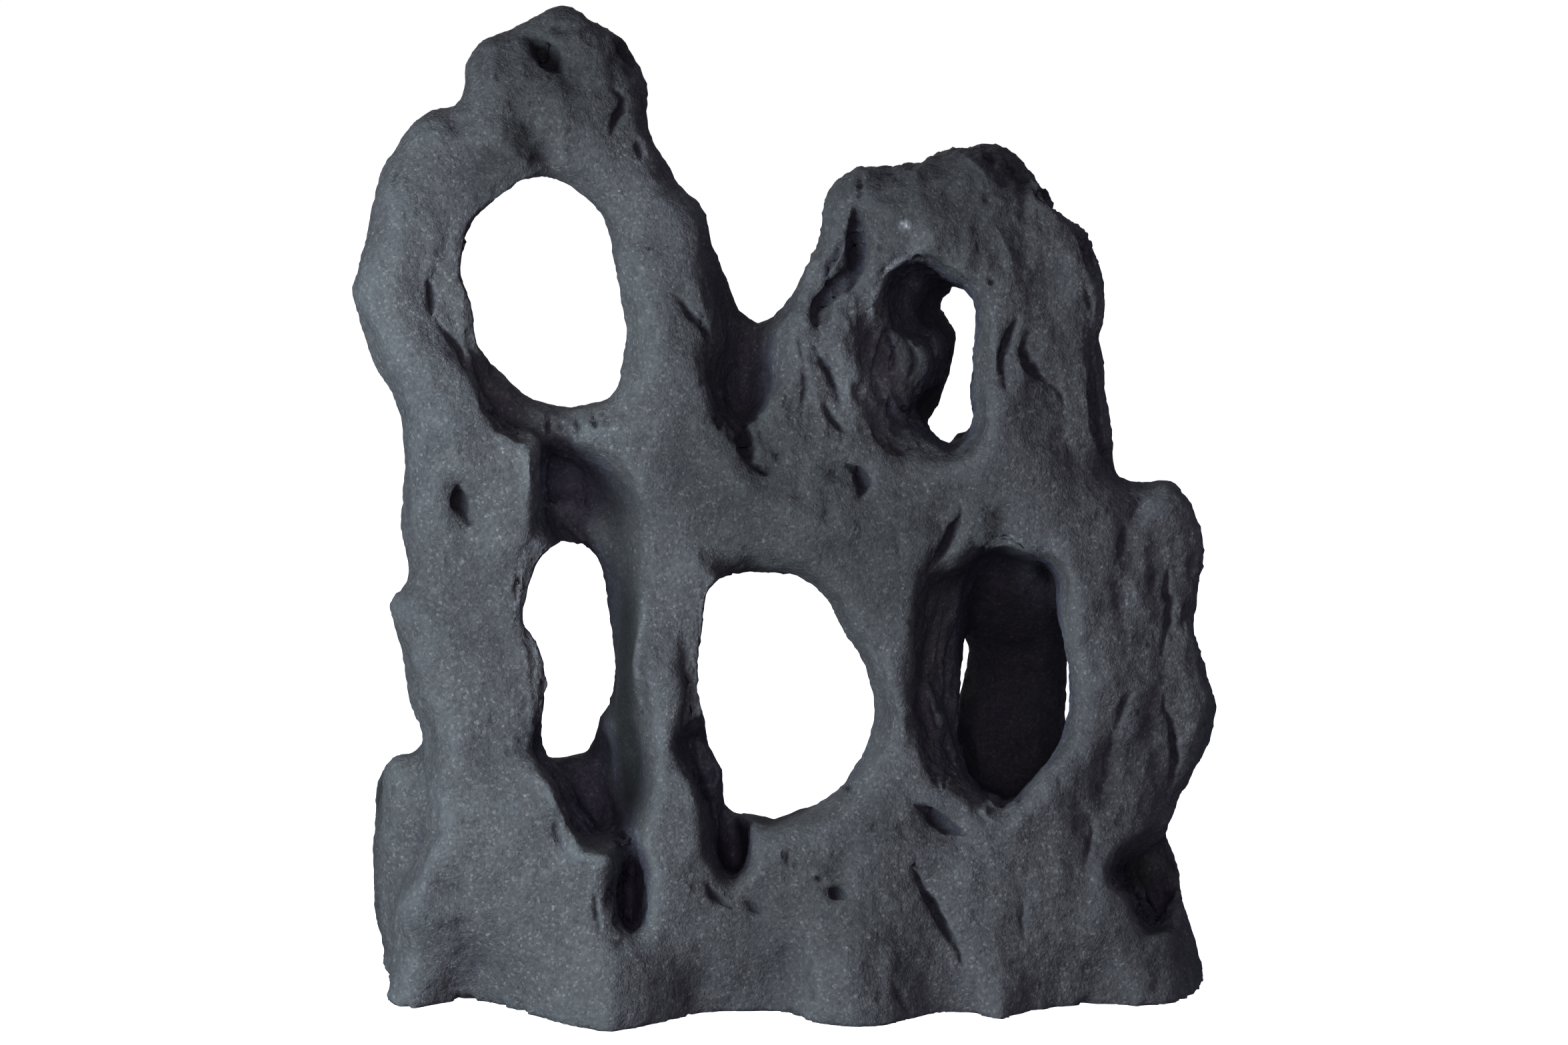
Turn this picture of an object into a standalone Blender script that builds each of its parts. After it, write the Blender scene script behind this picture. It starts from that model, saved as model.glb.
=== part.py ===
"""Holey rock: one standing stone, 0.36 m tall, with five holes right through it and a buttress behind.

The stone is set out from a perspective drawing on the plane y = 0, in millimetres: across is x and up
is z. EYE is the point that the drawing is seen from. A point of the surface that lies in front of or
behind the drawing is set out along its sight line, so an outline stays what the eye sees at any depth.
The front faces -Y and the stone stands on z = 0.
"""

import bmesh
import bpy
import numpy as np
from mathutils import Matrix

MM = 0.001
EYE = np.array((0.0, -1200.0, 330.0))

# Outline of the stone, clockwise from the left foot. It runs below the floor, where the foot is cut flat.
BELOW_FLOOR = -45
OUTLINE = [
    (-156, BELOW_FLOOR), (-156, -8), (-150.5, 8), (-153, 26), (-152, 60), (-151, 76), (-145, 84), (-138, 84),
    (-134, 81), (-134, 93), (-139, 108), (-142, 122), (-147, 136), (-146.5, 143), (-140, 147.5), (-138.5, 157),
    (-141, 168), (-139, 182), (-140, 200), (-142, 216), (-149, 229), (-152, 241), (-157, 256), (-154, 270),
    (-149, 288), (-145, 302), (-139, 311), (-135.5, 319), (-127, 322.5), (-117, 323.5), (-115.5, 332),
    (-112, 342), (-105, 347.5), (-94, 352), (-88, 358), (-80, 360), (-73, 357), (-61, 349), (-55, 340),
    (-50.5, 331),
    (-50, 318), (-47, 308), (-40, 296), (-31, 287), (-26, 275), (-21, 256), (-15, 247), (-7, 246.5),
    (2, 253), (7, 264), (13, 277), (14, 289), (20, 297), (28, 302), (40, 302), (52, 305),
    (64, 309.5), (76, 309.5), (89, 302), (95, 291), (103, 282.5), (111, 279.5), (112, 275), (116, 265),
    (117, 252), (115.5, 238), (117.5, 218), (121, 198), (126, 186), (142, 188.5), (150, 179), (156, 160),
    (153.5, 145), (153.5, 126), (158, 112), (158, 93), (150, 76), (145, 63), (143, 51), (148, 39),
    (149.5, 22), (155, 6), (157.5, -3), (156, BELOW_FLOOR),
]

# The holes, each as the clear shape that the eye sees through it.
HOLES = {
    "upper_left": [
        (-89, 299), (-79, 298), (-71, 290), (-65, 281), (-62.5, 267), (-59, 252), (-57, 238), (-60, 221),
        (-68, 216), (-80, 214), (-92, 218), (-103, 226), (-113, 236), (-113, 247), (-115, 256), (-118, 260),
        (-115.5, 274), (-109, 287), (-99, 295.5),
    ],
    "upper_right": [
        (65, 257), (70.5, 250), (70.5, 238), (68.5, 224), (69.5, 212), (67.5, 203), (61, 199), (56, 202.5),
        (52, 210), (58.5, 220), (62.5, 233), (63, 242), (57.5, 250),
    ],
    "lower_left": [
        (-80, 167), (-73, 162), (-66, 154), (-64, 138), (-62, 125), (-62.5, 108), (-70, 95), (-71, 85.5),
        (-80, 83), (-88, 82.5), (-90, 90), (-88.5, 110), (-91, 125), (-98, 132), (-95, 146), (-88, 161),
    ],
    "centre": [
        (-10, 153), (3, 151), (14, 144.5), (22, 132), (30, 118), (35, 100), (31, 87), (24, 74),
        (13, 65), (1, 60), (-6, 57.5), (-14, 61), (-22, 62), (-24, 69), (-23, 77), (-28, 88),
        (-28.5, 99), (-33, 111), (-31.5, 128), (-30.5, 142), (-26, 150),
    ],
    "lower_right": [
        (89, 159), (98, 155), (102, 146), (102, 133), (106, 118), (107, 100), (102, 86), (91, 72),
        (82, 65), (74, 70), (67, 80), (63, 95), (63, 112), (67, 130), (72, 145), (79, 155),
    ],
}

# How far the front stands forward of the drawing plane, as (across, up, forward).
FRONT = [
    (-80, 352, 12), (-100, 338, 16), (-62, 335, 12), (-82, 322, 24), (-130, 312, 20), (-60, 308, 20),
    (-90, 305, 20), (-138, 285, 28), (-142, 250, 32), (-122, 250, 24), (-133, 228, 36), (-118, 208, 38),
    (-104, 196, 38), (-128, 185, 36), (-104, 170, 38), (-126, 150, 34), (-106, 132, 34), (-128, 118, 36),
    (-108, 98, 38), (-122, 80, 44), (-106, 62, 52), (-124, 45, 52), (-96, 40, 58), (-120, 20, 50),
    (-92, 20, 60), (-76, 46, 58), (-74, 25, 66), (-52, 290, 22), (-42, 268, 28), (-42, 245, 32),
    (-46, 225, 34), (-34, 208, 34), (-50, 200, 28), (-30, 188, 32), (-44, 172, 26), (-48, 150, 28),
    (-46, 130, 36), (-47, 105, 40), (-46, 80, 44), (-42, 55, 52), (-40, 30, 58), (-12, 188, 32),
    (-10, 165, 30), (8, 180, 34), (12, 162, 32), (2, 205, 26), (10, 228, 22), (14, 250, 20),
    (20, 275, 22), (26, 296, 20), (45, 290, 28), (66, 296, 26), (60, 276, 34), (84, 285, 26),
    (30, 222, 26), (30, 250, 24), (22, 206, 30), (42, 200, 26), (76, 260, 34), (78, 235, 36),
    (76, 210, 36), (95, 262, 28), (96, 235, 32), (98, 208, 32), (112, 250, 14), (114, 220, 12),
    (118, 196, 10), (50, 186, 34), (80, 190, 36), (104, 182, 34), (40, 168, 36), (62, 168, 34),
    (90, 170, 36), (118, 168, 34), (138, 176, 26), (150, 165, 14), (40, 145, 36), (44, 118, 36),
    (45, 95, 38), (40, 72, 42), (112, 140, 38), (116, 110, 38), (130, 140, 32), (147, 135, 20),
    (132, 105, 32), (150, 105, 20), (116, 85, 38), (136, 80, 28), (148, 82, 14), (62, 58, 44),
    (86, 55, 46), (108, 60, 42), (128, 60, 30), (10, 52, 46), (-8, 40, 52), (25, 35, 56),
    (48, 40, 52), (72, 32, 52), (100, 32, 48), (118, 22, 46), (142, 8, 36), (0, 20, 52),
    (-30, 12, 52), (30, 12, 62), (60, 12, 52), (90, 10, 48),
]

# The front edge of the foot on the floor, from left to right, as (across, forward).
FOOT_FRONT = [
    (-152, 18), (-143, 44), (-134, 48), (-122, 37), (-110, 33), (-98, 48), (-80, 67), (-63, 79), (-48, 71),
    (-32, 54), (-14, 49), (0, 51), (12, 66), (25, 73), (40, 67), (55, 53), (66, 54), (76, 63),
    (90, 52), (110, 42), (130, 45), (146, 39), (153, 31), (157, 12),
]
# The foot spreads to this edge from FLARE_TOP down, wholly by FLARE_BOTTOM, along a curve of this power.
FLARE_TOP = 26
FLARE_BOTTOM = -20
FLARE_CURVE = 0.7

# How far the back stands behind the drawing plane, as (across, up, backward).
BACK = [
    (-80, 350, 14), (-100, 330, 22), (-60, 325, 20), (-85, 310, 26), (-135, 300, 22), (-145, 260, 26),
    (-125, 220, 28), (-90, 205, 30), (-120, 170, 26), (-125, 130, 22), (-115, 100, 26), (-110, 60, 64),
    (-140, 50, 56), (-80, 50, 66), (-110, 20, 72), (-70, 20, 68), (-50, 280, 22), (-38, 245, 26),
    (-50, 200, 30), (-30, 170, 34), (-48, 130, 30), (-46, 90, 36), (-40, 50, 54), (-40, 20, 60),
    (-10, 225, 20), (0, 190, 32), (10, 165, 34), (15, 260, 24), (30, 295, 22), (60, 295, 26),
    (90, 285, 22), (30, 230, 30), (60, 215, 30), (100, 250, 26), (105, 215, 28), (118, 195, 24),
    (60, 180, 36), (100, 175, 38), (140, 170, 26), (45, 140, 32), (44, 100, 34), (115, 130, 32),
    (145, 120, 26), (120, 90, 36), (145, 85, 28), (40, 60, 46), (70, 50, 54), (110, 50, 58),
    (140, 50, 40), (0, 40, 56), (30, 20, 66), (80, 20, 72), (130, 15, 62), (150, 10, 44), (0, 10, 60),
    (-145, 10, 60),
]

# Places that lie back from the front: an outline, how far back its floor lies, and how wide its edge slopes.
# A later one takes over from an earlier one where they overlap.
FRONT_RECESSES = {
    "ledge under the upper left hole": (
        [(-119, 238), (-113, 229), (-110, 219), (-106, 211), (-99, 204), (-91, 203), (-85, 199), (-78, 203),
         (-74, 209), (-80, 216), (-92, 219), (-103, 227), (-113, 240)],
        -14, 5,
    ),
    "slope above the lower left hole": (
        [(-87, 199), (-76, 198), (-65, 192), (-58, 180), (-56, 160), (-59, 140), (-61, 110), (-61, 88),
         (-86, 80), (-89, 100), (-97, 130), (-95, 152), (-89, 168)],
        -6, 13,
    ),
    "hollow above the lower left hole": (
        [(-89, 199), (-82, 199), (-75, 193), (-72, 180), (-73, 168), (-80, 166), (-88, 170)],
        8, 7,
    ),
    "slope beside the middle pillar": (
        [(-86, 86), (-80, 66), (-74, 53), (-64, 52), (-57, 60), (-53, 74), (-52, 90), (-55, 106), (-64, 100)],
        -18, 13,
    ),
    "sill of the lower left hole": (
        [(-89, 86), (-84, 75), (-79, 63), (-74, 56), (-66, 55), (-64, 64), (-64, 76), (-65, 90), (-80, 92)],
        6, 9,
    ),
    "crevice beside the knob": (
        [(-64, 53), (-57, 50), (-53, 44), (-52, 34), (-52, 22), (-56, 15), (-60, 19), (-64, 29), (-61, 36),
         (-61, 44)],
        -24, 5,
    ),
    "side of the left foot": (
        [(-170, 100), (-134, 100), (-133, 75), (-132, 52), (-139, 38), (-146, 22), (-149, -4), (-170, -20)],
        -4, 5,
    ),
    "saddle between the peaks": (
        [(-23, 262), (-22, 240), (-25, 226), (-20, 211), (-14, 208), (-9, 215), (-4, 226), (-3, 240), (-1, 262)],
        5, 14,
    ),
    "funnel of the upper right hole": (
        [(34, 214), (30, 236), (36, 250), (42, 258), (62, 256), (70, 244), (70, 208), (60, 201), (42, 203)],
        -6, 18,
    ),
    "roof of the upper right hole": (
        [(37, 251), (37, 260), (41, 265), (48, 268), (55, 266), (61, 261), (67, 256), (67, 246), (56, 240),
         (44, 240)],
        12, 5,
    ),
    "depth of the upper right hole": (
        [(50, 256), (57, 260), (66, 252), (66, 206), (60, 202), (53, 205), (47, 212), (53, 224), (57, 236),
         (51, 248)],
        28, 9,
    ),
    "flank of the right peak": (
        [(105, 284), (108, 273), (113, 262), (117, 252), (114, 240), (112, 226), (113, 210), (115, 197),
         (119, 189), (125, 186), (140, 200), (140, 284)],
        -2, 5,
    ),
    "slope into the lower right hole": (
        [(53, 148), (51, 130), (50, 112), (51, 98), (57, 84), (64, 76), (74, 66), (84, 66), (84, 140), (84, 162),
         (80, 171), (75, 170), (71, 161), (65, 154), (58, 152)],
        -10, 12,
    ),
    "depth of the lower right hole": (
        [(68, 149), (76, 157), (86, 159), (84, 70), (76, 72), (68, 84), (64, 102), (64, 126)],
        27, 9,
    ),
    "left side of the centre hole": (
        [(-34, 118), (-35, 97), (-39, 88), (-34, 77), (-30, 66), (-27, 52), (-23, 40), (-18, 37), (-13, 44),
         (-14, 58), (-24, 66), (-26, 90), (-28, 118)],
        0, 6,
    ),
    "cave beside the right foot": (
        [(144, 55), (132, 51), (123, 40), (129, 33), (132, 24), (136, 19), (142, 19), (146, 26), (148, 36),
         (149, 46)],
        14, 8,
    ),
}
BACK_RECESSES = {
    "shelf behind the left leg": (
        [(-170, 84), (-133, 86), (-100, 84), (-66, 84), (-46, 92), (-30, 102), (-32, 180), (-95, 205),
         (-170, 195)],
        26, 12,
    ),
}

# Dents, grooves and creases of the front, each as its path, its half width and its depth. A depth below
# zero is a lump or a ridge.
FRONT_RELIEF = [
    ([(-90, 346), (-82, 337)], 7, 5),
    ([(-62, 347), (-55, 336)], 6, 3),
    ([(-58, 328), (-62, 314)], 7, 3),
    ([(-96, 320), (-88, 306)], 7, 3),
    ([(-120, 321), (-118, 312)], 6, 3),
    ([(-104, 311), (-99, 305)], 7, -3),
    ([(-129, 258), (-127, 246), (-118, 230)], 6, 3),
    ([(-121, 184), (-115, 172)], 7, 5),
    ([(-37, 254), (-27, 236)], 6, 3),
    ([(-14, 206), (-10, 193), (-3, 194)], 6.5, 4),
    ([(27, 286), (25, 260)], 7, 5),
    ([(18, 270), (14, 252)], 7, 4),
    ([(13, 240), (18, 224), (22, 208)], 6, 3),
    ([(18, 248), (24, 236), (24, 218)], 8, -3),
    ([(35, 204), (50, 199)], 6, 3),
    ([(18, 191), (28, 187)], 7, 4.5),
    ([(14, 184), (15, 170)], 6, 2),
    ([(80, 302), (92, 291)], 7, 4),
    ([(83, 243), (80, 224)], 5.5, 4),
    ([(89, 238), (95, 222)], 5.5, 4),
    ([(65, 177), (60, 162), (54, 152)], 6, 4),
    ([(72, 169), (66, 160)], 5, -4),
    ([(59, 90), (60, 76)], 6, 3),
    ([(131, 184), (126, 166), (124, 140)], 7, 3),
    ([(142, 152), (142, 124)], 6, 4),
    ([(152, 160), (150, 134)], 6, 4),
    ([(142, 106), (145, 84), (140, 60)], 6.5, 4),
    ([(122, 92), (118, 70)], 6, 3),
    ([(51, 60), (68, 50)], 6, 4.5),
    ([(51, 36), (59, 20)], 6, 4),
    ([(58, 16), (66, 3)], 6, 3),
    ([(114, 58), (113, 44)], 6, 2),
    ([(17, 32), (22, 30)], 6, 5),
    ([(-28, 34), (-10, 25)], 6, 3),
    ([(-74, 47), (-67, 44)], 10, -7),
    ([(-85, 58), (-82, 46)], 6, 2),
    ([(-136, 208), (-120, 206)], 12, -3),
    ([(-22, 190), (-8, 178), (20, 168)], 9, -4),
]

# The same for the back.
BACK_RELIEF = [
    ([(-98, 330), (-84, 322)], 9, -8),
    ([(-140, 270), (-132, 245), (-128, 228)], 8, -8),
    ([(-46, 262), (-40, 236)], 8, -6),
    ([(-36, 214), (-12, 200), (12, 196)], 9, -8),
    ([(42, 296), (60, 284), (84, 284)], 8, -6),
    ([(96, 262), (102, 236)], 9, -7),
    ([(28, 262), (24, 236)], 7, -5),
    ([(-124, 150), (-120, 122)], 9, -6),
    ([(-46, 108), (-44, 72)], 8, -8),
    ([(118, 150), (126, 112)], 9, -7),
    ([(-120, 52), (-96, 40)], 9, -7),
    ([(4, 36), (30, 26)], 9, -7),
    ([(132, 50), (138, 28)], 9, -6),
]

# The buttress behind the lower right hole, foot to top, as (x, y, z, radius).
BUTTRESS = [
    (88, 50, -12, 34), (87, 53, 22, 29), (86, 55, 58, 26), (87.5, 55, 84, 22.5), (91, 54, 109, 19),
    (89.5, 52, 122, 21), (88, 46, 138, 25), (87, 34, 168, 27), (84, 20, 196, 24),
]

# How far in from an edge the stone is full again, and how thick it is at the edge itself, as a share.
OUTLINE_ROUNDING = 15
HOLE_ROUNDING = {"upper_left": 12, "upper_right": 7, "lower_left": 10, "centre": 10, "lower_right": 6}
EDGE_THICKNESS = 0.3
LEAST_DEPTH = 14

# How far a station's value spreads, and how little it still counts far away.
FIELD_SPREAD = 13
FAR_SHARE = 0.001
SMALLEST = 1e-12

# Uneven lumps over the whole stone, as (name, size, strength).
LUMPS = [("broad lumps", 30, 6), ("small lumps", 10, 3)]

PLATE_HALF = 6
PLATE_VOXEL = 2.5
ROCK_VOXEL = 2.2
SOFTENING_ROUNDS = 3
SOFTENING = 0.5
TRIANGLES_BEFORE_CUT = 11500
STONE_COLOUR = (0.075, 0.08, 0.09, 1.0)
STONE_ROUGHNESS = 0.92


def smooth_loop(points, steps=4):
    """A closed Catmull-Rom curve through the points, as an array of (across, up)."""
    knots = np.array(points, float)
    before, after, beyond = np.roll(knots, 1, 0), np.roll(knots, -1, 0), np.roll(knots, -2, 0)
    rows = []
    for t in np.arange(steps) / steps:
        rows.append(
            0.5 * (2 * knots + (after - before) * t
                   + (2 * before - 5 * knots + 4 * after - beyond) * t**2
                   + (3 * knots - before - 3 * after + beyond) * t**3)
        )
    return np.stack(rows, 1).reshape(-1, 2)


def path_distance(path, spots):
    """Distance from each spot to the nearest point of a path of straight runs."""
    nearest = np.full(len(spots), np.inf)
    for start, end in zip(path[:-1], path[1:]):
        run = end - start
        along = np.clip(((spots - start) @ run) / (run @ run), 0, 1)
        nearest = np.minimum(nearest, np.linalg.norm(spots - start - along[:, None] * run, axis=1))
    return nearest


def edge_distance(loop, spots):
    """Distance from each spot to the nearest point of a closed loop."""
    return path_distance(np.vstack([loop, loop[:1]]), spots)


def inside(loop, spots):
    """True for each spot within the loop, by counting the edges to its right."""
    crossings = np.zeros(len(spots), int)
    for start, end in zip(loop, np.roll(loop, -1, 0)):
        spans = (start[1] > spots[:, 1]) != (end[1] > spots[:, 1])
        rise = end[1] - start[1] if end[1] != start[1] else SMALLEST
        at = start[0] + (spots[:, 1] - start[1]) / rise * (end[0] - start[0])
        crossings += spans & (spots[:, 0] < at)
    return crossings % 2 == 1


def smooth_step(value):
    value = np.clip(value, 0, 1)
    return value * value * (3 - 2 * value)


def blended(stations, spots):
    """The stations' values spread smoothly over the drawing, each counting for less further away."""
    total, weights = np.zeros(len(spots)), np.full(len(spots), SMALLEST)
    for across, up, value in stations:
        reach = (spots[:, 0] - across) ** 2 + (spots[:, 1] - up) ** 2
        weight = np.exp(-reach / (2 * FIELD_SPREAD**2)) + FAR_SHARE / (1 + reach)
        total += weight * value
        weights += weight
    return total / weights


def recessed(depth, recesses, spots):
    """The depth, taken back to the floor of each recess over its sloping edge."""
    for outline, floor, slope in recesses.values():
        loop = smooth_loop(outline)
        away = edge_distance(loop, spots) * np.where(inside(loop, spots), 1, -1)
        share = smooth_step(away / slope + 0.5)
        depth = depth * (1 - share) + floor * share
    return depth


def carved(depth, relief, spots, sign):
    """The depth with each dent of the relief pressed into it, or each ridge raised from it."""
    for path, half_width, dent in relief:
        away = path_distance(np.array(path, float), spots)
        depth = depth + sign * dent * (1 - smooth_step(away / half_width))
    return depth


def in_place(spots, depth):
    """The drawing's spots carried along their sight lines to a depth, in metres."""
    scale = (depth - EYE[1]) / -EYE[1]
    across = EYE[0] + (spots[:, 0] - EYE[0]) * scale
    up = EYE[2] + (spots[:, 1] - EYE[2]) * scale
    return np.stack([across, depth, up], 1) * MM


def coordinates(mesh):
    flat = np.empty(len(mesh.vertices) * 3, np.float32)
    mesh.vertices.foreach_get("co", flat)
    return flat.reshape(-1, 3).astype(float)


def set_coordinates(mesh, places):
    mesh.vertices.foreach_set("co", places.astype(np.float32).ravel())
    mesh.update()


def link(name, data):
    obj = bpy.data.objects.new(name, data)
    bpy.context.scene.collection.objects.link(obj)
    return obj


def baked(obj):
    """The object with its modifiers made part of its mesh."""
    graph = bpy.context.evaluated_depsgraph_get()
    mesh = bpy.data.meshes.new_from_object(obj.evaluated_get(graph))
    name = obj.name
    bpy.data.objects.remove(obj)
    return link(name, mesh)


def voxel_remeshed(obj, voxel):
    remesh = obj.modifiers.new("even faces", "REMESH")
    remesh.mode = "VOXEL"
    remesh.voxel_size = voxel * MM
    return baked(obj)


def plate():
    """The outline with its holes, as a flat plate of even small faces across the plane y = 0."""
    drawing = bpy.data.curves.new("plate", "CURVE")
    drawing.dimensions = "2D"
    drawing.fill_mode = "BOTH"
    drawing.extrude = PLATE_HALF * MM
    for loop in [OUTLINE, *HOLES.values()]:
        points = smooth_loop(loop) * MM
        spline = drawing.splines.new("POLY")
        spline.points.add(len(points) - 1)
        for point, (across, up) in zip(spline.points, points):
            point.co = (across, up, 0, 1)
        spline.use_cyclic_u = True
    upright = baked(link("plate", drawing))
    upright.data.transform(Matrix.Rotation(np.pi / 2, 4, "X"))
    return voxel_remeshed(upright, PLATE_VOXEL)


def swell(obj):
    """Gives the plate its real depth: round at every edge, and as deep as the front and back stations say."""
    places = coordinates(obj.data) / MM
    spots, side = places[:, [0, 2]], np.clip(places[:, 1] / PLATE_HALF, -1, 1)
    inwards = [edge_distance(smooth_loop(OUTLINE), spots) / OUTLINE_ROUNDING]
    for name, loop in HOLES.items():
        inwards.append(edge_distance(smooth_loop(loop), spots) / HOLE_ROUNDING[name])
    roundness = np.sqrt(1 - (1 - np.clip(np.min(inwards, 0), 0, 1)) ** 2)
    roundness = EDGE_THICKNESS + (1 - EDGE_THICKNESS) * roundness

    forward = blended(FRONT, spots)
    foot = np.array(FOOT_FRONT, float)
    seen_across = foot[:, 0] * EYE[1] / (EYE[1] + foot[:, 1])
    on_floor = np.interp(spots[:, 0], seen_across, foot[:, 1])
    flare = smooth_step((FLARE_TOP - spots[:, 1]) / (FLARE_TOP - FLARE_BOTTOM)) ** FLARE_CURVE
    forward = forward * (1 - flare) + on_floor * flare
    front = carved(recessed(-forward, FRONT_RECESSES, spots), FRONT_RELIEF, spots, 1)
    back = carved(recessed(blended(BACK, spots), BACK_RECESSES, spots), BACK_RELIEF, spots, -1)
    back = np.maximum(back, front + LEAST_DEPTH)

    middle, half = (front + back) / 2, (back - front) / 2
    set_coordinates(obj.data, in_place(spots, middle + side * half * roundness))
    return obj


def buttress():
    """The leg behind the lower right hole: a tube along a curve, thicker at its foot and where it joins."""
    path = bpy.data.curves.new("buttress", "CURVE")
    path.dimensions = "3D"
    path.bevel_depth = 1.0
    path.bevel_resolution = 5
    path.use_fill_caps = True
    spline = path.splines.new("POLY")
    spline.points.add(len(BUTTRESS) - 1)
    for point, (x, y, z, radius) in zip(spline.points, BUTTRESS):
        point.co = (x * MM, y * MM, z * MM, 1)
        point.radius = radius * MM
    return baked(link("buttress", path))


def joined(first, second):
    """Both objects' meshes in one, still overlapping."""
    both = bmesh.new()
    both.from_mesh(first.data)
    both.from_mesh(second.data)
    both.to_mesh(first.data)
    both.free()
    bpy.data.objects.remove(second)
    return first


def roughened(obj):
    """Uneven lumps of two sizes over the whole stone."""
    for name, size, strength in LUMPS:
        cloud = bpy.data.textures.new(name, "CLOUDS")
        cloud.noise_scale = size * MM
        cloud.noise_depth = 2
        lumps = obj.modifiers.new(name, "DISPLACE")
        lumps.texture = cloud
        lumps.texture_coords = "GLOBAL"
        lumps.strength = strength * MM
        lumps.mid_level = 0.5
    return baked(obj)


def thinned(obj):
    """The stone in fewer, larger triangles, which follow its shape."""
    triangles = sum(len(face.vertices) - 2 for face in obj.data.polygons)
    thin = obj.modifiers.new("fewer faces", "DECIMATE")
    thin.ratio = TRIANGLES_BEFORE_CUT / triangles
    thin.use_collapse_triangulate = True
    return baked(obj)


def cut_flat(obj):
    """Cuts away what lies below the floor, so that the stone stands on a flat face."""
    below = bmesh.new()
    bmesh.ops.create_cube(below, size=1)
    mesh = bpy.data.meshes.new("below floor")
    below.to_mesh(mesh)
    below.free()
    cutter = link("below floor", mesh)
    cutter.location.z = -0.5
    cutter.hide_render = True
    cutter.display_type = "WIRE"
    cut = obj.modifiers.new("flat foot", "BOOLEAN")
    cut.operation = "DIFFERENCE"
    cut.object = cutter
    flat = baked(obj)
    bpy.data.objects.remove(cutter)
    return flat


def centre(obj):
    """Moves the stone so that the middle of its box stands over the origin."""
    places = coordinates(obj.data)
    middle = (places.min(0) + places.max(0)) / 2
    print("moved by", (-middle[:2] / MM).round(2), "mm; size", np.ptp(places, axis=0) / MM)
    set_coordinates(obj.data, places - (middle[0], middle[1], 0))


def stone():
    """Dark grey, sandy, fully matt stone."""
    material = bpy.data.materials.new("stone")
    material.use_nodes = True
    shader = material.node_tree.nodes["Principled BSDF"]
    shader.inputs["Base Color"].default_value = STONE_COLOUR
    shader.inputs["Roughness"].default_value = STONE_ROUGHNESS
    shader.inputs["Metallic"].default_value = 0.0
    return material


def main():
    for obj in list(bpy.data.objects):
        bpy.data.objects.remove(obj)
    rock = joined(swell(plate()), buttress())
    rock = voxel_remeshed(rock, ROCK_VOXEL)
    smoother = rock.modifiers.new("soften", "SMOOTH")
    smoother.iterations = SOFTENING_ROUNDS
    smoother.factor = SOFTENING
    rock = baked(rock)
    rock = roughened(rock)
    rock = thinned(rock)
    rock = cut_flat(rock)
    centre(rock)
    rock.name = "rock"
    rock.data.name = "rock"
    rock.data.materials.append(stone())
    return rock


if __name__ == "__main__":
    main()
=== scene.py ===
# %% [markdown]
# # Dressing a holey rock
# A piece of dark stone stands on a pale floor. Wind, water or a maker's hands have opened five holes in it,
# and a coat of fine dark sand covers every face. The frame brings in the stone's plain faceted solid at its
# real size. These cells give it a fine skin: small creases, pits and weathering as real geometry, and sand as
# a material. Nothing here moves or resizes the solid.

# %% The frame and the tools
import math

import bmesh
import bpy
import numpy as np
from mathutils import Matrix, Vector


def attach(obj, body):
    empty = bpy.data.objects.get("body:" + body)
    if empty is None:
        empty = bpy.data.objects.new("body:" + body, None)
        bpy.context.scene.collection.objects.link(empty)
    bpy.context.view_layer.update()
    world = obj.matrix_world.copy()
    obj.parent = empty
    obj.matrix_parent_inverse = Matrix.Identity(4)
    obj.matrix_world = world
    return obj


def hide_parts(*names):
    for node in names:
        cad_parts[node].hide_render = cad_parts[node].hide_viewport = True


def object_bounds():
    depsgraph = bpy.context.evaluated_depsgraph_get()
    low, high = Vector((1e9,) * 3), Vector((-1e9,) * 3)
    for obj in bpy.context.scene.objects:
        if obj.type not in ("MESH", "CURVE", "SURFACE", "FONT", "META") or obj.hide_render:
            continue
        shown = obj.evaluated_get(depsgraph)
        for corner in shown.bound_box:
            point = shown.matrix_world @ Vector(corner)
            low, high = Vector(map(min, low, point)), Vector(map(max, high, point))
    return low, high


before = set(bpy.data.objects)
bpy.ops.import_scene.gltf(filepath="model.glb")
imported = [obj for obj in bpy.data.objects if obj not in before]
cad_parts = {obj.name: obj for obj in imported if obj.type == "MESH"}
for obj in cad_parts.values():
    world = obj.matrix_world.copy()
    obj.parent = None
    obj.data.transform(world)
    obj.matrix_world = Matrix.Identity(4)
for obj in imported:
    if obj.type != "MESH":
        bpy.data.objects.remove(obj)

MM = 0.001
cad_box = [list(corner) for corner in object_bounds()]
print("solid, mm:", [round((high - low) / MM, 1) for low, high in zip(*cad_box)])

# %% [markdown]
# ## Camera
# The rock is seen from straight ahead and a little above, from about an arm's length and a half. A long lens
# keeps the two peaks upright. The camera comes first, because the details below are set out as it sees them:
# each is a place on an upright plane through the stone, and a sight line carries it to the surface.

# %% Camera
EYE = Vector((-1.3, -1201.9, 330.0)) * MM
AIM = Vector((-1.3, -1.9, 171.0)) * MM
LENS = 75.4
SENSOR = 36.0

camera_data = bpy.data.cameras.new("camera")
camera_data.lens = LENS
camera_data.sensor_width = SENSOR
camera_data.clip_start = 0.05
camera = bpy.data.objects.new("camera", camera_data)
camera.location = EYE
camera.rotation_euler = (AIM - EYE).to_track_quat("-Z", "Y").to_euler()
bpy.context.scene.collection.objects.link(camera)
bpy.context.scene.camera = camera
print("camera", round((AIM - EYE).length, 3), "m from the stone")

# %% [markdown]
# ## An even skin to carve
# The solid is loose triangles about 7 mm long, too few for small creases. A copy of it is merged into one
# surface and subdivided, which rounds the facets away. A voxel remesh then lays an even net of small squares
# over it, so that every later dent finds enough points to bend.

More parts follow.
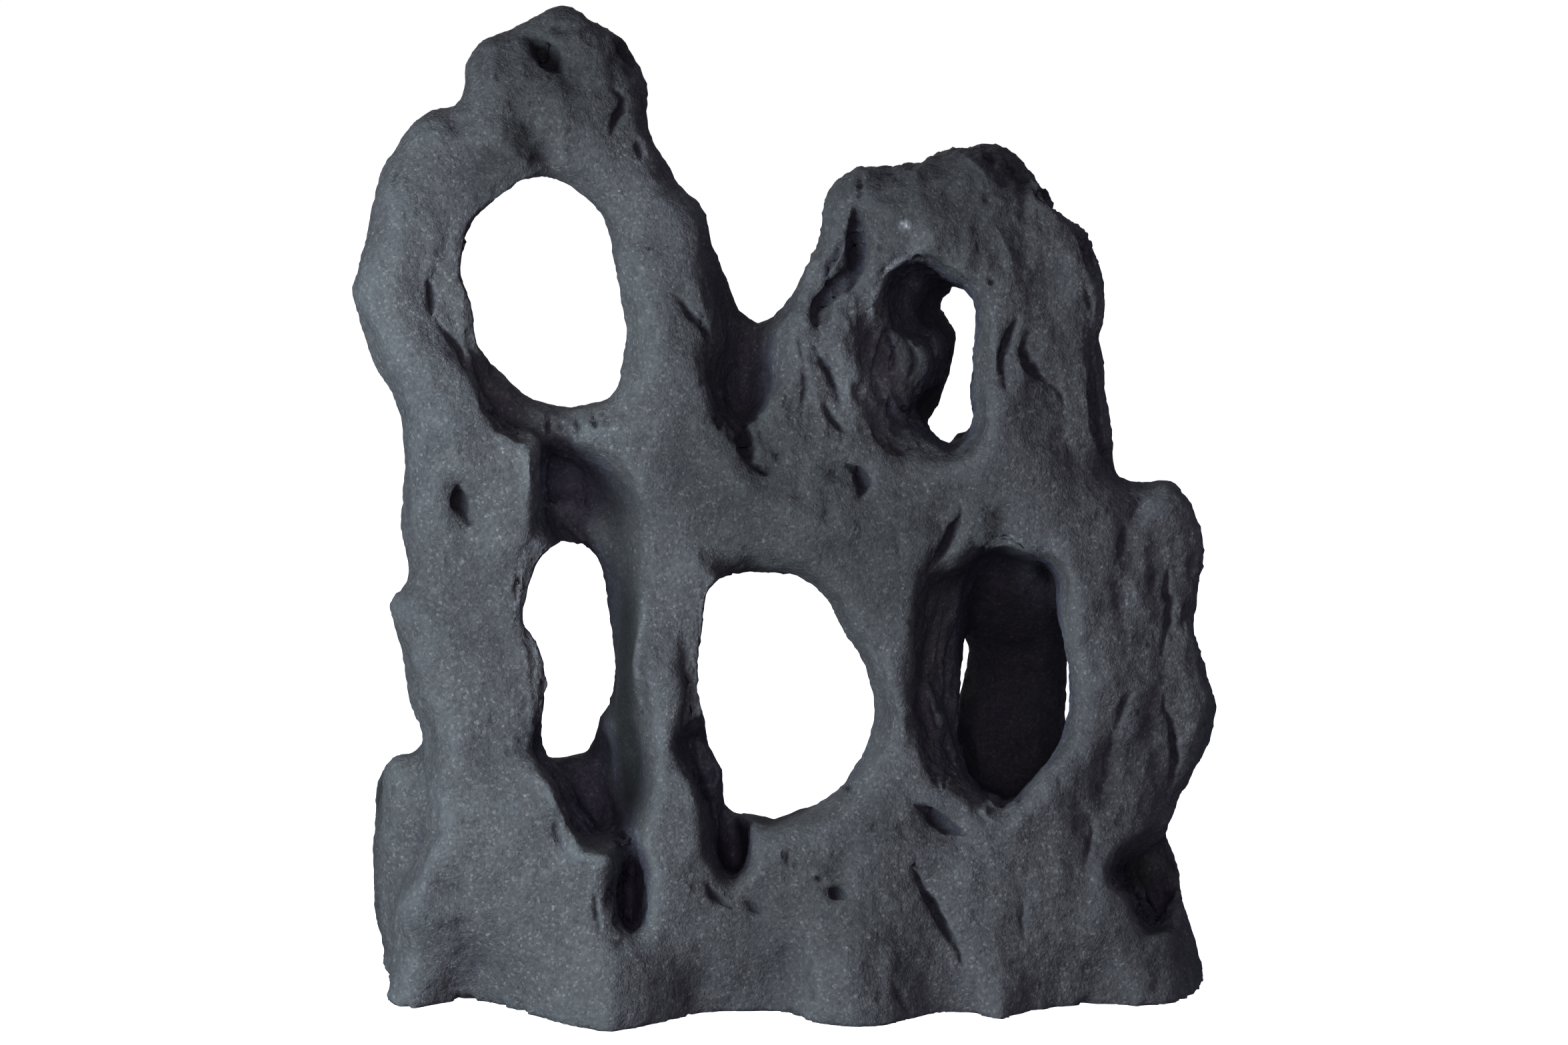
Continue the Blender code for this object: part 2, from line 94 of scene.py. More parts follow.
# %% Helpers for whole meshes
def linked(name, mesh):
    piece = bpy.data.objects.new(name, mesh)
    bpy.context.scene.collection.objects.link(piece)
    return piece


def applied(piece):
    """Makes the piece's modifiers part of its mesh."""
    graph = bpy.context.evaluated_depsgraph_get()
    mesh = bpy.data.meshes.new_from_object(piece.evaluated_get(graph))
    old = piece.data
    piece.modifiers.clear()
    piece.data = mesh
    bpy.data.meshes.remove(old)
    return piece


def places_of(mesh):
    flat = np.empty(len(mesh.vertices) * 3, np.float32)
    mesh.vertices.foreach_get("co", flat)
    return flat.reshape(-1, 3).astype(float)


def normals_of(mesh):
    flat = np.empty(len(mesh.vertices) * 3, np.float32)
    mesh.vertex_normals.foreach_get("vector", flat)
    return flat.reshape(-1, 3).astype(float)


def put(mesh, places):
    mesh.vertices.foreach_set("co", places.astype(np.float32).ravel())
    mesh.update()


# %% The even skin
SKIN_VOXEL = 1.15
MERGE_DISTANCE = 0.01
ROUNDING_LEVELS = 2


def even_net(piece, voxel):
    even = piece.modifiers.new("even squares", "REMESH")
    even.mode = "VOXEL"
    even.voxel_size = voxel * MM
    applied(piece)
    print(piece.name, "has", len(piece.data.polygons), "squares")


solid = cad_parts["rock"]
merged = bmesh.new()
merged.from_mesh(solid.data)
bmesh.ops.remove_doubles(merged, verts=merged.verts, dist=MERGE_DISTANCE * MM)
skin_mesh = bpy.data.meshes.new("stone")
merged.to_mesh(skin_mesh)
merged.free()
stone = linked("stone", skin_mesh)
rounding = stone.modifiers.new("round the facets", "SUBSURF")
rounding.levels = rounding.render_levels = ROUNDING_LEVELS
even_net(stone, SKIN_VOXEL)

# %% [markdown]
# ## Places as the eye sees them
# Details and rough patches of the front are given on an upright plane through the stone, across and up in
# millimetres, just as they look from the camera. Each point of the skin finds its own place on that plane by
# following its sight line.

# %% From the skin to the upright plane
def smooth_step(value):
    value = np.clip(value, 0, 1)
    return value * value * (3 - 2 * value)


def seen_from_eye(places):
    """Where each place, in metres, shows on the upright plane y = AIM.y, in mm, and its sight line."""
    sight = places - np.array(EYE)
    scale = (AIM.y - EYE.y) / sight[:, 1]
    on_plane = np.array(EYE) + sight * scale[:, None]
    toward_eye = -sight / np.linalg.norm(sight, axis=1)[:, None]
    return (on_plane[:, [0, 2]] - (AIM.x, 0.0)) / MM, toward_eye


# %% How far a spot on the plane is from a path
TOWARD_LIGHT = np.array((-0.8, 0.6))


def to_path(path, spots):
    """Each spot's distance to a path of straight runs, how far it lies towards the light, and how far along."""
    path = np.array(path, float)
    runs = np.diff(path, axis=0)
    lengths = np.linalg.norm(runs, axis=1)
    nearest = np.full(len(spots), np.inf)
    lightward = np.zeros(len(spots))
    along = np.zeros(len(spots))
    walked = 0.0
    for start, run, length in zip(path, runs, lengths):
        share = np.clip((spots - start) @ run / length**2, 0, 1)
        offset = spots - start - share[:, None] * run
        away = np.linalg.norm(offset, axis=1)
        closer = away < nearest
        nearest[closer] = away[closer]
        lightward[closer] = (offset[closer] @ TOWARD_LIGHT) / (away[closer] + 0.01)
        along[closer] = (walked + share[closer] * length) / lengths.sum()
        walked += length
    return nearest, (lightward + 1) / 2, along


# %% How much of each detail a spot on the plane gets
STEEP_SIDE, GENTLE_SIDE = 0.7, 2.6
TAPER, WALL_TAPER = 2.4, 9.0
LEAST_TAPER, TAPER_POWER = 0.1, 0.7
WALL_FLATNESS = 1.8


def amount_at(spots, details, kind):
    """The amounts of all the details together at each spot. Kinds: slit, fold, band, which is soft, and wall."""
    steepness = WALL_TAPER if kind == "wall" else TAPER
    total = np.zeros(len(spots))
    for path, half_width, amount in details:
        corners = np.array(path, float)
        reach = half_width * GENTLE_SIDE + 1
        near = ((spots > corners.min(0) - reach) & (spots < corners.max(0) + reach)).all(1)
        away, lightward, along = to_path(path, spots[near])
        from_end = np.minimum(along, 1 - along)
        taper = np.clip(from_end * steepness + LEAST_TAPER, 0, 1) ** TAPER_POWER
        width = half_width * taper + 0.2
        if kind == "fold":
            width *= lightward * STEEP_SIDE + (1 - lightward) * GENTLE_SIDE
        if kind in ("band", "wall"):
            width = half_width
        inward = 1 - np.clip(away / width, 0, 1)
        sharp, soft = 1 - (1 - inward) ** 2, inward**2
        share = {"slit": sharp, "fold": lightward * sharp + (1 - lightward) * soft,
                 "band": smooth_step(inward), "wall": smooth_step(inward * WALL_FLATNESS)}[kind]
        total[near] += amount * taper * share
    return total


# %% [markdown]
# ## Rims and flanks
# A rim that flares wide shows a broad dark wall inside its hole. Where the wall should look thin, the stone
# round the rim is drawn forward along its sight lines until it is nearly level with the front. A point that
# moves along its own sight line stays where it is seen, so the hole keeps its shape while its wall turns to the
# light. The same move closes the pointed top of the lower right hole with the stone that stands behind it.
# Elsewhere the stone is pushed back, which makes a hollow wider. A flank that drops away at a crisp edge is made
# with a step: everything on one side of a path goes back, further and further. Last, the corners of the feet are
# rubbed down with a smoothing that acts only there, because cast stone has no knife edges.

# %% Walls drawn up level with the front: path, half width in mm and how nearly level
LEVELLED = [
    ([(-84, 302), (-96, 297), (-106, 291), (-113, 286), (-117, 276), (-118, 266), (-116, 256), (-113, 246),
      (-112, 236), (-106, 228)], 13, 0.85),
    ([(-24, 158), (-30, 152), (-32, 134), (-32, 116), (-28, 103), (-26, 92)], 15, 1.0),
    ([(-84, 170), (-90, 156), (-96, 138), (-90, 126), (-87.5, 115), (-88, 90)], 15, 0.9),
    ([(74, 66), (82, 59), (90, 64)], 6, 0.8),
    ([(62, 178), (70, 172), (77, 167), (86, 166), (97, 163)], 9, 0.94),
    ([(94, 303), (104, 286), (110, 272), (113, 260), (112, 240), (110, 225), (112, 211), (114, 200),
      (118, 188)], 15, 0.8),
    ([(138, 188), (147, 172), (150, 150), (148, 130), (150, 110), (146, 90), (140, 76)], 14, 0.6),
]

# %% Drawn forward, or pushed back below zero: path, half width and how far, in mm
DRAWN = [
    ([(28, 286), (27, 270), (22, 260), (14, 252), (12, 240)], 5, -5),
    ([(79, 308), (86, 300), (92, 292)], 6, -5),
    ([(-92, 84), (-84, 66), (-74, 54)], 7, 10),
    ([(-93, 202), (-93, 170)], 6, 5),
    ([(-73, 198), (-70, 186), (-67, 172)], 9, -9),
    ([(-66, 196), (-62, 184), (-58, 170)], 9, -6),
    ([(34, 250), (32, 232), (34, 216)], 7, -4),
    ([(92, 159), (98, 155), (103, 147)], 6, -9),
    ([(53, 110), (57, 99), (62, 87)], 3.5, 8),
    ([(50, 104), (54, 92), (58, 78)], 3.0, -3),
    ([(66, 94), (70, 82), (74, 72)], 3.0, -4),
    ([(-67, 50), (-66, 42)], 6, 3),
    ([(35, 250), (37, 256), (40, 262), (45, 266), (50, 267.5)], 2.4, 2.2),
]

# %% Steps: the stone on the outer side of a path drops back, over a width and by a depth in mm
STEPS = [
    ([(104, 288), (106, 281), (110, 272), (113, 262), (116, 248)], 5.5, 9.0),
    ([(109, 246), (110, 234), (111, 222), (112.5, 211), (114.5, 200), (116, 191), (121, 183)], 6.0, 9.0),
]


def outer_side(path, spots):
    """True for the spots that lie on the left of someone who walks along the path."""
    path = np.array(path, float)
    middles = (path[:-1] + path[1:]) / 2
    runs = np.diff(path, axis=0)
    nearest = ((spots[:, None] - middles) ** 2).sum(2).argmin(1)
    offset = spots - middles[nearest]
    return runs[nearest, 0] * offset[:, 1] - runs[nearest, 1] * offset[:, 0] > 0


# %% Draw the stone forward and back along its sight lines
FRONT_FACING, FRONT_QUANTILE = 0.8, 0.3
HIDDEN_FACING, FACING_RANGE = -0.3, 0.35
STEP_ENDS = 5
DRAW_ROUNDS = 3


def evened(mesh, values, rounds):
    """The values, one for each point, averaged with their neighbours' a few times."""
    ends = np.array([edge.vertices[:] for edge in mesh.edges])
    neighbours = np.bincount(ends.ravel(), minlength=len(values)) + 1
    for _ in range(rounds):
        total = values.copy()
        np.add.at(total, ends[:, 0], values[ends[:, 1]])
        np.add.at(total, ends[:, 1], values[ends[:, 0]])
        values = total / neighbours
    return values


def draw(piece):
    """Moves each point along its own sight line, so that it stays where it is seen."""
    places = places_of(piece.data)
    spots, toward_eye = seen_from_eye(places)
    facing = (normals_of(piece.data) * toward_eye).sum(1)
    forward = amount_at(spots, DRAWN, "band")
    for wall in LEVELLED:
        share = amount_at(spots, [wall], "wall")
        front = np.quantile(places[(share > 0) & (facing > FRONT_FACING), 1], FRONT_QUANTILE)
        behind = np.clip((places[:, 1] - front) / MM, 0, None)
        forward += share * behind * smooth_step((facing - HIDDEN_FACING) / FACING_RANGE)
    for path, width, depth in STEPS:
        away, _, along = to_path(path, spots)
        ends = np.clip(np.minimum(along, 1 - along) * STEP_ENDS, 0, 1)
        forward -= depth * ends * np.clip(away / width, 0, 1) * outer_side(path, spots)
    forward = evened(piece.data, forward, DRAW_ROUNDS)
    put(piece.data, places + toward_eye * forward[:, None] * MM)
    print("forward by up to", round(forward.max(), 1), "and back by up to", round(-forward.min(), 1), "mm")


draw(stone)

# %% Feet whose sharp corner is worn round: across, up and radius, on the upright plane, in mm
WORN_CORNERS = [(80, 8, 26), (-64, 6, 24), (46, 4, 16), (-100, 10, 18)]
WEAR_ROUNDS = 200
WEAR_EDGE = 1.6


def wear(piece):
    """Rubs the corners of the feet down, without moving the foot up or down."""
    spots, toward_eye = seen_from_eye(places_of(piece.data))
    front = (normals_of(piece.data) * toward_eye).sum(1) > 0
    worn = piece.vertex_groups.new(name="worn corners")
    for across, up, radius in WORN_CORNERS:
        share = smooth_step(WEAR_EDGE - np.linalg.norm(spots - (across, up), axis=1) / radius) * front
        for index in np.flatnonzero(share > 0.01):
            worn.add([int(index)], float(share[index]), "REPLACE")
    rounding = piece.modifiers.new("wear", "SMOOTH")
    rounding.iterations, rounding.use_z = WEAR_ROUNDS, False
    rounding.vertex_group = worn.name
    applied(piece)
    print("worn round:", len(WORN_CORNERS), "corners")


wear(stone)

# %% [markdown]
# ## Weathering
# Weather takes stone off in scoops and flakes, so bare stone is made of shallow hollows that meet in crisp
# ridges. A Voronoi noise gives just that: how near the nearest of many scattered points is, compared with the
# next one, makes a scoop, and two scoops meet in an edge. Moving the place a little with a second noise first
# keeps the scoops from looking like cells. Two sizes of scoop, a few folds down the flanks and a fine crumble
# are added up. Real stone isn't equally rough all over, so a list of rough places says where they bite.

# %% Rough places, each as across, up, radius and how rough, on the upright plane, in mm
ROUGH_PLACES = [
    (14, 280, 26, 0.5), (20, 240, 26, 0.8), (42, 222, 24, 1.0), (16, 210, 20, 0.6), (-12, 200, 18, 0.5),
    (86, 292, 26, 1.1), (50, 292, 30, 1.0), (70, 262, 20, 0.5), (106, 240, 16, 0.2), (56, 110, 14, 0.6),
    (60, 82, 16, 0.6), (62, 160, 18, 0.3), (90, 215, 16, 0.4), (96, 250, 14, 0.3), (30, 12, 22, 0.4),
    (95, 20, 24, 0.4), (14, 40, 12, 0.4), (138, 150, 26, 0.5), (142, 104, 26, 0.5), (130, 70, 22, 0.4),
    (132, 36, 20, 0.5), (58, 40, 24, 0.3), (-66, 40, 18, 0.3), (-84, 206, 18, 0.4), (-62, 332, 24, 0.5),
    (-92, 335, 22, 0.7), (-80, 318, 16, 0.4), (-36, 246, 18, 0.3),
]
CALM = 0.2
ROUGHEST = 1.2
BACK_ROUGHNESS = 0.6

# %% How rough each spot is, and the forms of the weathering, in mm
from mathutils import noise

NOISE_SEED = 7
noise.seed_set(NOISE_SEED)  # without it the noise vectors differ from run to run

LUMP_SIZE, LUMP_HEIGHT = 24.0, 1.0
SCOOP_SIZE, SCOOP_DEPTH = 17.0, 2.0
FLAKE_SIZE, FLAKE_DEPTH = 6.5, 1.0
FOLD_SIZE, FOLD_DEPTH = 12.0, 0.9
CRUMB_SIZE, CRUMB_HEIGHT = 2.8, 0.42
DRIFT_SIZE, DRIFT = 9.0, 3.0
SCOOP_WANDER, WANDER_SIZE = 0.35, 1.3
UPRIGHT = 0.6  # forms are longer upwards than across, as water runs down
SCOOP_WHERE_ROUGH, SCOOP_EVERYWHERE = 0.6, 0.3
FRONT_ENDS = -0.2  # the front's weathering goes a little way round the edge


def roughness_at(spots, front):
    rough = np.full(len(spots), CALM)
    for across, up, radius, amount in ROUGH_PLACES:
        reach = ((spots - (across, up)) ** 2).sum(1) / radius**2
        rough += amount * np.exp(-reach)
    return np.where(front, np.minimum(rough, ROUGHEST), BACK_ROUGHNESS)


def scoop(place, size, seed):
    """0 in the middle of a scoop and 1 on the crisp edge where it meets the next one."""
    moved = place / size + noise.noise_vector(place / size * WANDER_SIZE + Vector((seed, 0, 0))) * SCOOP_WANDER
    near, next_near = noise.voronoi(moved + Vector((0, seed, 0)))[0][:2]
    return min(near / (next_near + 0.05), 1.0) ** 2


# %% Weather the skin
def weather(piece):
    """Pushes every point in or out by the sum of the lumps, scoops, flakes, folds and crumbs."""
    mesh = piece.data
    places = places_of(mesh)
    normals = normals_of(mesh)
    spots, toward_eye = seen_from_eye(places)
    front = (normals * toward_eye).sum(1) > FRONT_ENDS
    rough = roughness_at(spots, front)
    push = np.empty(len(places))
    for index, place in enumerate(places / MM):
        place = Vector(place)
        upright = Vector((place.x, place.y, place.z * UPRIGHT))
        lump = noise.fractal(place / LUMP_SIZE, 1.0, 2.0, 2) * LUMP_HEIGHT
        wide = (scoop(upright, SCOOP_SIZE, 3) - 0.5) * SCOOP_DEPTH
        flake = (scoop(upright, FLAKE_SIZE, 7) - 0.5) * FLAKE_DEPTH
        drifted = (upright + noise.noise_vector(place / DRIFT_SIZE) * DRIFT) / FOLD_SIZE
        fold = (noise.ridged_multi_fractal(drifted, 1.0, 2.1, 3, 0.9, 2.0) - 1.0) * FOLD_DEPTH
        crumb = noise.fractal(place / CRUMB_SIZE, 0.8, 2.0, 2) * CRUMB_HEIGHT
        push[index] = (lump + (wide * SCOOP_WHERE_ROUGH + flake + fold) * rough[index]
                       + wide * SCOOP_EVERYWHERE + crumb)
    put(mesh, places + normals * push[:, None] * MM)
    print("weathering from", round(push.min(), 2), "to", round(push.max(), 2), "mm")


weather(stone)

# %% [markdown]
# ## Slits, folds and ridges
# Water cuts a stone along its weak lines. Some cuts are slits: crisp edges on both sides, deep in the middle
# and pointed at both ends. Others are folds: a steep wall on the light's side, and a slope that runs out
# gently on the other. Each is given as a path, a half width and a depth in millimetres, and the points near the
# path sink straight into the surface. A depth below zero raises a ridge instead.

# %% Slits of the two peaks, on the upright plane, in mm
SLITS_ABOVE = [
    ([(37, 242), (40, 235), (39, 226)], 1.5, 2.2),
    ([(45, 239), (48, 231), (45, 221)], 1.4, 2.2),
    ([(53, 241), (55, 232)], 1.3, 1.6),
    ([(40, 220), (44, 213), (50, 209)], 1.4, 2.0),
    ([(32, 227), (35, 218), (41, 210)], 1.6, 2.4),
    ([(-92, 348), (-87, 343), (-80.5, 336)], 4.2, 6.0),
    ([(-84, 352), (-79, 350)], 1.5, 1.5),
    ([(-61, 348), (-57, 343), (-54, 337)], 2.4, 3.0),
    ([(-62, 329), (-58, 326), (-59, 322), (-62, 316), (-63, 313)], 2.0, 3.0),
    ([(-54, 312), (-51, 305)], 2.2, 2.5),
    ([(-129.5, 261), (-129, 254), (-128, 247)], 2.0, 3.0),
    ([(-127, 247), (-123, 240), (-119, 235), (-116, 227)], 1.4, 2.0),
    ([(-86, 211), (-86, 203)], 1.3, 2.0),
    ([(-82, 209), (-82, 204)], 1.2, 1.5),
    ([(-77, 211), (-76, 202)], 1.3, 2.0),
    ([(-70, 212), (-69, 205)], 1.4, 1.6),
    ([(-39, 255), (-34, 247), (-31, 245), (-28, 240), (-25, 235)], 1.5, 2.5),
    ([(-31, 250), (-29, 245), (-27, 240)], 1.2, 1.5),
    ([(28, 299), (27, 289)], 1.3, 1.8),
    ([(26, 287), (26, 275), (26, 264), (23, 256)], 3.4, 4.5),
    ([(28, 268), (20, 259), (12, 251), (12, 243)], 2.6, 3.4),
    ([(21, 274), (16, 265), (16, 256)], 1.9, 3.0),
    ([(10, 238), (13, 232), (16, 228), (18, 222), (20, 217), (22, 214)], 1.5, 2.5),
    ([(15, 216), (17, 211), (20, 207), (24, 204)], 1.5, 2.3),
    ([(5, 242), (7, 230), (8, 220), (7, 212), (6, 206)], 1.2, 1.3),
    ([(33, 205), (36, 201), (40, 198), (44, 197), (50, 200)], 1.2, 2.0),
    ([(72, 309), (74, 306), (76, 300)], 1.8, 2.5),
    ([(81, 303), (84, 297)], 2.0, 2.0),
    ([(90, 295), (97, 288)], 2.2, 2.2),
    ([(72, 291), (76, 289)], 1.6, 1.6),
    ([(75, 261), (77, 258)], 1.5, 1.6),
    ([(86, 247), (82.5, 241), (80, 234), (80, 226), (81, 221)], 2.1, 4.0),
    ([(89, 241), (88, 235), (89.5, 230), (92.5, 225.5), (96, 222.5)], 2.2, 4.0),
    ([(96, 222.5), (100, 220), (103, 213)], 1.1, 1.3),
    ([(110, 256), (113, 248)], 1.5, 1.5),
    ([(106, 282), (110, 273), (114, 261)], 2.2, 2.5),
    ([(113, 232), (113, 222), (114, 210), (117, 198), (119, 190)], 2.4, 3.0),
]

# %% Slits of the middle and the right lobe
SLITS_BETWEEN = [
    ([(-120, 185), (-119.5, 178), (-116.5, 172)], 3.2, 5.0),
    ([(-119, 171), (-113, 170.5)], 1.6, 2.0),
    ([(-24, 212), (-23, 205)], 1.8, 2.5),
    ([(-15, 208), (-14, 199), (-12, 193)], 3.2, 4.0),
    ([(-12, 193), (-7, 190.5), (-3.5, 193)], 1.7, 3.0),
    ([(-10, 207), (-9, 201)], 1.2, 1.4),
    ([(-4, 197), (-1, 193)], 1.8, 2.2),
    ([(22.5, 192), (27, 189.5), (29.5, 185), (28, 180)], 3.0, 4.5),
    ([(12, 192), (22, 193)], 1.0, 0.8),
    ([(65, 178), (65, 173), (62, 168), (60, 163), (57, 158), (53, 152)], 2.0, 3.2),
    ([(60, 92), (60, 86), (62, 80), (61, 76), (59, 71)], 1.4, 2.0),
    ([(51, 99), (55, 86)], 1.6, 2.0),
    ([(126, 170), (125, 165), (124, 160), (122, 156)], 1.6, 1.8),
    ([(137, 153), (136, 145)], 1.4, 1.5),
    ([(142, 154), (141, 144), (143, 142), (142, 132), (140, 122)], 1.7, 2.8),
    ([(150, 145), (149, 138), (147, 134), (148, 131)], 1.6, 2.0),
    ([(130, 108), (127, 104), (125, 98), (123, 92)], 1.5, 1.6),
    ([(141, 107), (141, 102), (144, 97), (145, 88), (146, 80), (144, 72), (142, 67)], 1.7, 2.5),
    ([(117, 73), (118, 69)], 1.6, 1.8),
    ([(114, 60), (115, 53), (113, 46), (112, 41)], 1.3, 1.4),
]

# %% Slits of the foot
SLITS_BELOW = [
    ([(2, 48), (1, 41)], 1.0, 1.5),
    ([(126, 43), (127, 37), (131, 32)], 4.5, 6.0),
    ([(131, 32), (135, 26), (139, 21), (142, 24)], 3.8, 6.0),
    ([(-65, 57), (-60, 51), (-56, 46)], 2.6, 4.0),
    ([(-58, 42), (-62, 33), (-66, 27)], 3.4, 5.0),
    ([(-61, 26), (-60, 16)], 3.4, 4.5),
    ([(52, 92), (55, 80), (58, 70)], 1.2, 1.8),
    ([(-32, 92), (-33, 80), (-28, 66), (-25, 54)], 2.0, 3.0),
    ([(49, 65), (55, 61), (61, 56), (68, 53)], 2.8, 4.2),
    ([(48, 42), (51, 35), (55, 28), (58, 22), (61, 16), (65, 9), (67, 3)], 2.0, 4.0),
    ([(90, 30), (89, 24), (90, 12)], 1.3, 1.2),
    ([(41, -3), (44, -9), (46, -14)], 1.5, 1.5),
    ([(17, 32.5), (23, 29.5)], 2.7, 4.0),
    ([(11, 38), (15, 34)], 1.2, 1.4),
    ([(-29, 35), (-26, 30), (-20, 25)], 1.7, 2.3),
    ([(-15, 28), (-8, 23)], 1.8, 2.2),
    ([(-23, 42), (-22, 37)], 1.3, 1.3),
    ([(23, 73), (25, 70)], 1.7, 1.8),
    ([(-86, 62), (-85, 56), (-84, 50), (-82, 46)], 1.3, 1.6),
    ([(-71, 32), (-70, 22), (-68, 15)], 1.3, 1.3),
]
SLITS = SLITS_ABOVE + SLITS_BETWEEN + SLITS_BELOW

# %% Folds and ridges of the two peaks
FOLDS_ABOVE = [
    ([(-99, 327), (-96, 323)], 3, 1.4),
    ([(-95, 318), (-90, 314)], 3, 1.6),
    ([(-107, 311), (-105, 305)], 3, 1.6),
    ([(-101, 311), (-98, 305)], 5, -1.2),
    ([(-91, 309), (-85, 304)], 4, 2.0),
    ([(-120, 320), (-118, 314)], 4, 1.6),
    ([(-91, 213), (-89, 208)], 2.5, -1.2),
    ([(-130, 210), (-130, 196)], 3, 0.8),
    ([(-72, 294), (-62, 284), (-58, 274)], 1.6, -0.6),
    ([(-56, 281), (-55, 272)], 1.6, 0.7),
    ([(-52, 250), (-54, 232)], 1.5, -0.7),
    ([(-46, 242), (-46, 234)], 1.5, -0.6),
    ([(12, 254), (13, 240)], 3.5, 2.0),
    ([(26, 223), (30, 215)], 2.4, 1.6),
    ([(37, 236), (38, 226)], 2.4, 1.8),
    ([(32, 257), (32, 242)], 1.7, -0.9),
    ([(36, 260), (37, 242)], 1.7, -0.9),
    ([(36, 261), (38, 265), (43, 267.5), (49, 268)], 1.7, -0.9),
    ([(44, 281), (47, 279)], 2, -0.6),
    ([(77, 278), (76, 263)], 3, 1.0),
    ([(88, 262), (90, 250), (89, 242)], 1.7, 0.9),
]

# %% Folds and ridges below the peaks
FOLDS_BELOW = [
    ([(-127, 181), (-126, 174)], 4, 0.9),
    ([(-124, 160), (-124, 152)], 1.7, 1.1),
    ([(-99, 92), (-97, 87), (-95, 82)], 2.5, 1.4),
    ([(-26, 219), (-21, 218)], 2, -1.5),
    ([(-19, 208), (-19, 200)], 2, 1.4),
    ([(16, 190), (20, 188)], 2, 1.0),
    ([(14, 185), (14, 180)], 1.6, 0.9),
    ([(15, 180), (16, 175), (16, 170), (15, 167)], 1.7, 1.1),
    ([(5, 182), (7, 178)], 3, 1.2),
    ([(-18, 157), (-5, 157)], 4, 1.0),
    ([(-50, 136), (-53, 130), (-55, 118), (-56, 110), (-52, 98)], 1.5, -0.7),
    ([(79, 149), (87, 140)], 1.7, -1.0),
    ([(60, 140), (58, 122), (60, 104)], 2.0, 1.6),
    ([(64, 148), (62, 130), (62, 112)], 2.0, -1.4),
    ([(58, 101), (57, 93)], 3, -1.2),
    ([(47, 90), (48, 85)], 1.6, 1.0),
    ([(50, 112), (50, 100)], 1.7, 1.1),
    ([(93, 70), (98, 65)], 1.7, 1.2),
    ([(76, 65), (79, 63)], 1.8, 1.4),
    ([(132, 187), (137, 181)], 4, 1.2),
    ([(131, 183), (130, 177), (127, 172)], 2, 1.6),
    ([(122, 152), (125, 142), (125, 132), (126, 128)], 3, 1.2),
    ([(142, 168), (144, 163), (145, 160)], 1.7, 1.2),
    ([(152, 160), (152, 148)], 3, 1.6),
    ([(132, 118), (132, 110)], 3, 0.9),
    ([(122, 95), (122, 88), (120, 80), (119, 72)], 2, 1.7),
    ([(87, 6), (85, 2)], 1.7, 0.9),
    ([(141, 0), (139, -8)], 1.7, 0.9),
    ([(135, 10), (136, 2)], 3, 0.9),
    ([(42, 65), (44, 60)], 2.5, 1.1),
    ([(46, 58), (41, 55)], 2.2, 0.9),
    ([(143, 52), (139, 44)], 1.7, -1.0),
    ([(145, 36), (144, 30)], 3, -1.0),
    ([(-79, 58), (-78, 50)], 1.9, -0.9),
    ([(-90, 45), (-88, 40)], 2.4, 1.1),
    ([(-65, 26), (-65, 20)], 1.7, -0.8),
    ([(-63, 12), (-60, 10)], 3, 0.9),
    ([(-123, 25), (-121, 12)], 3, 0.8),
    ([(-134, 84), (-133, 68), (-131, 53), (-138, 45), (-142, 32)], 2.5, 1.6),
    ([(-20, 60), (-19, 50), (-19, 41)], 3, 1.6),
    ([(-18, 52), (-18, 45)], 1.7, -0.9),
    ([(-27, 52), (-25, 47)], 1.6, 0.9),
    ([(1, 42), (2, 35)], 1.6, 0.9),
    ([(10, 36), (12, 32)], 3, 1.0),
    ([(22, 68), (30, 76)], 1.6, -0.8),
    ([(-32, 13), (-31, 8)], 3, 0.7),
    ([(-16, 5), (-12, -5)], 3, 0.7),
    ([(36, 15), (36, 8)], 3, 0.7),
]

# %% Lips, where a face ends in a crisp edge and drops back
LIPS = [
    ([(-86, 199), (-86, 185), (-87, 171)], 3.5, 4.0),
    ([(-113, 231), (-108, 216), (-103, 209), (-97, 204), (-90, 203)], 3.2, 3.5),
    ([(39, 256), (42, 263), (48, 266), (55, 264), (61, 259)], 2.8, 3.0),
    ([(-86, 79), (-81, 67), (-77, 57), (-67, 54)], 2.8, 3.0),
    ([(-98, 150), (-99, 143)], 2.5, 1.5),
    ([(54, 148), (53, 130), (53, 112), (53, 100), (58, 86)], 2.6, 1.6),
]
FOLDS = FOLDS_ABOVE + FOLDS_BELOW + LIPS

# %% Broken edges, and which points face the eye
STRAY_SIZE, STRAY = 8.0, 0.8
FINE_STRAY_SIZE, FINE_STRAY, FINE_SLICE = 3.0, 0.35, 9


def strayed(spots):
    """The spots moved a little to and fro, so that what is carved along a path gets a broken edge."""
    moves = np.array([noise.noise_vector(Vector((x, 0, z)) / STRAY_SIZE) * STRAY
                      + noise.noise_vector(Vector((x, FINE_SLICE, z)) / FINE_STRAY_SIZE) * FINE_STRAY
                      for x, z in spots])
    return spots + moves[:, [0, 2]]


def facing_share(piece):
    """Each point's place on the upright plane, and 1 where it faces the eye down to 0 where it turns away."""
    spots, toward_eye = seen_from_eye(places_of(piece.data))
    facing = smooth_step((normals_of(piece.data) * toward_eye).sum(1) / FACING_RANGE)
    spots[facing > 0] = strayed(spots[facing > 0])
    return spots, facing


# %% [markdown]
# ## Carving
# A slit is only a few millimetres wide, so the net of squares is made twice as fine along every slit before
# the carving starts. Elsewhere it stays as it is. Then each point sinks straight in by what the slits and the
# folds ask of it. A cutter for each slit would do it too, but its walls would come out smooth and its ends blunt.

# %% Carve
SLIT_MARGIN = 1.0


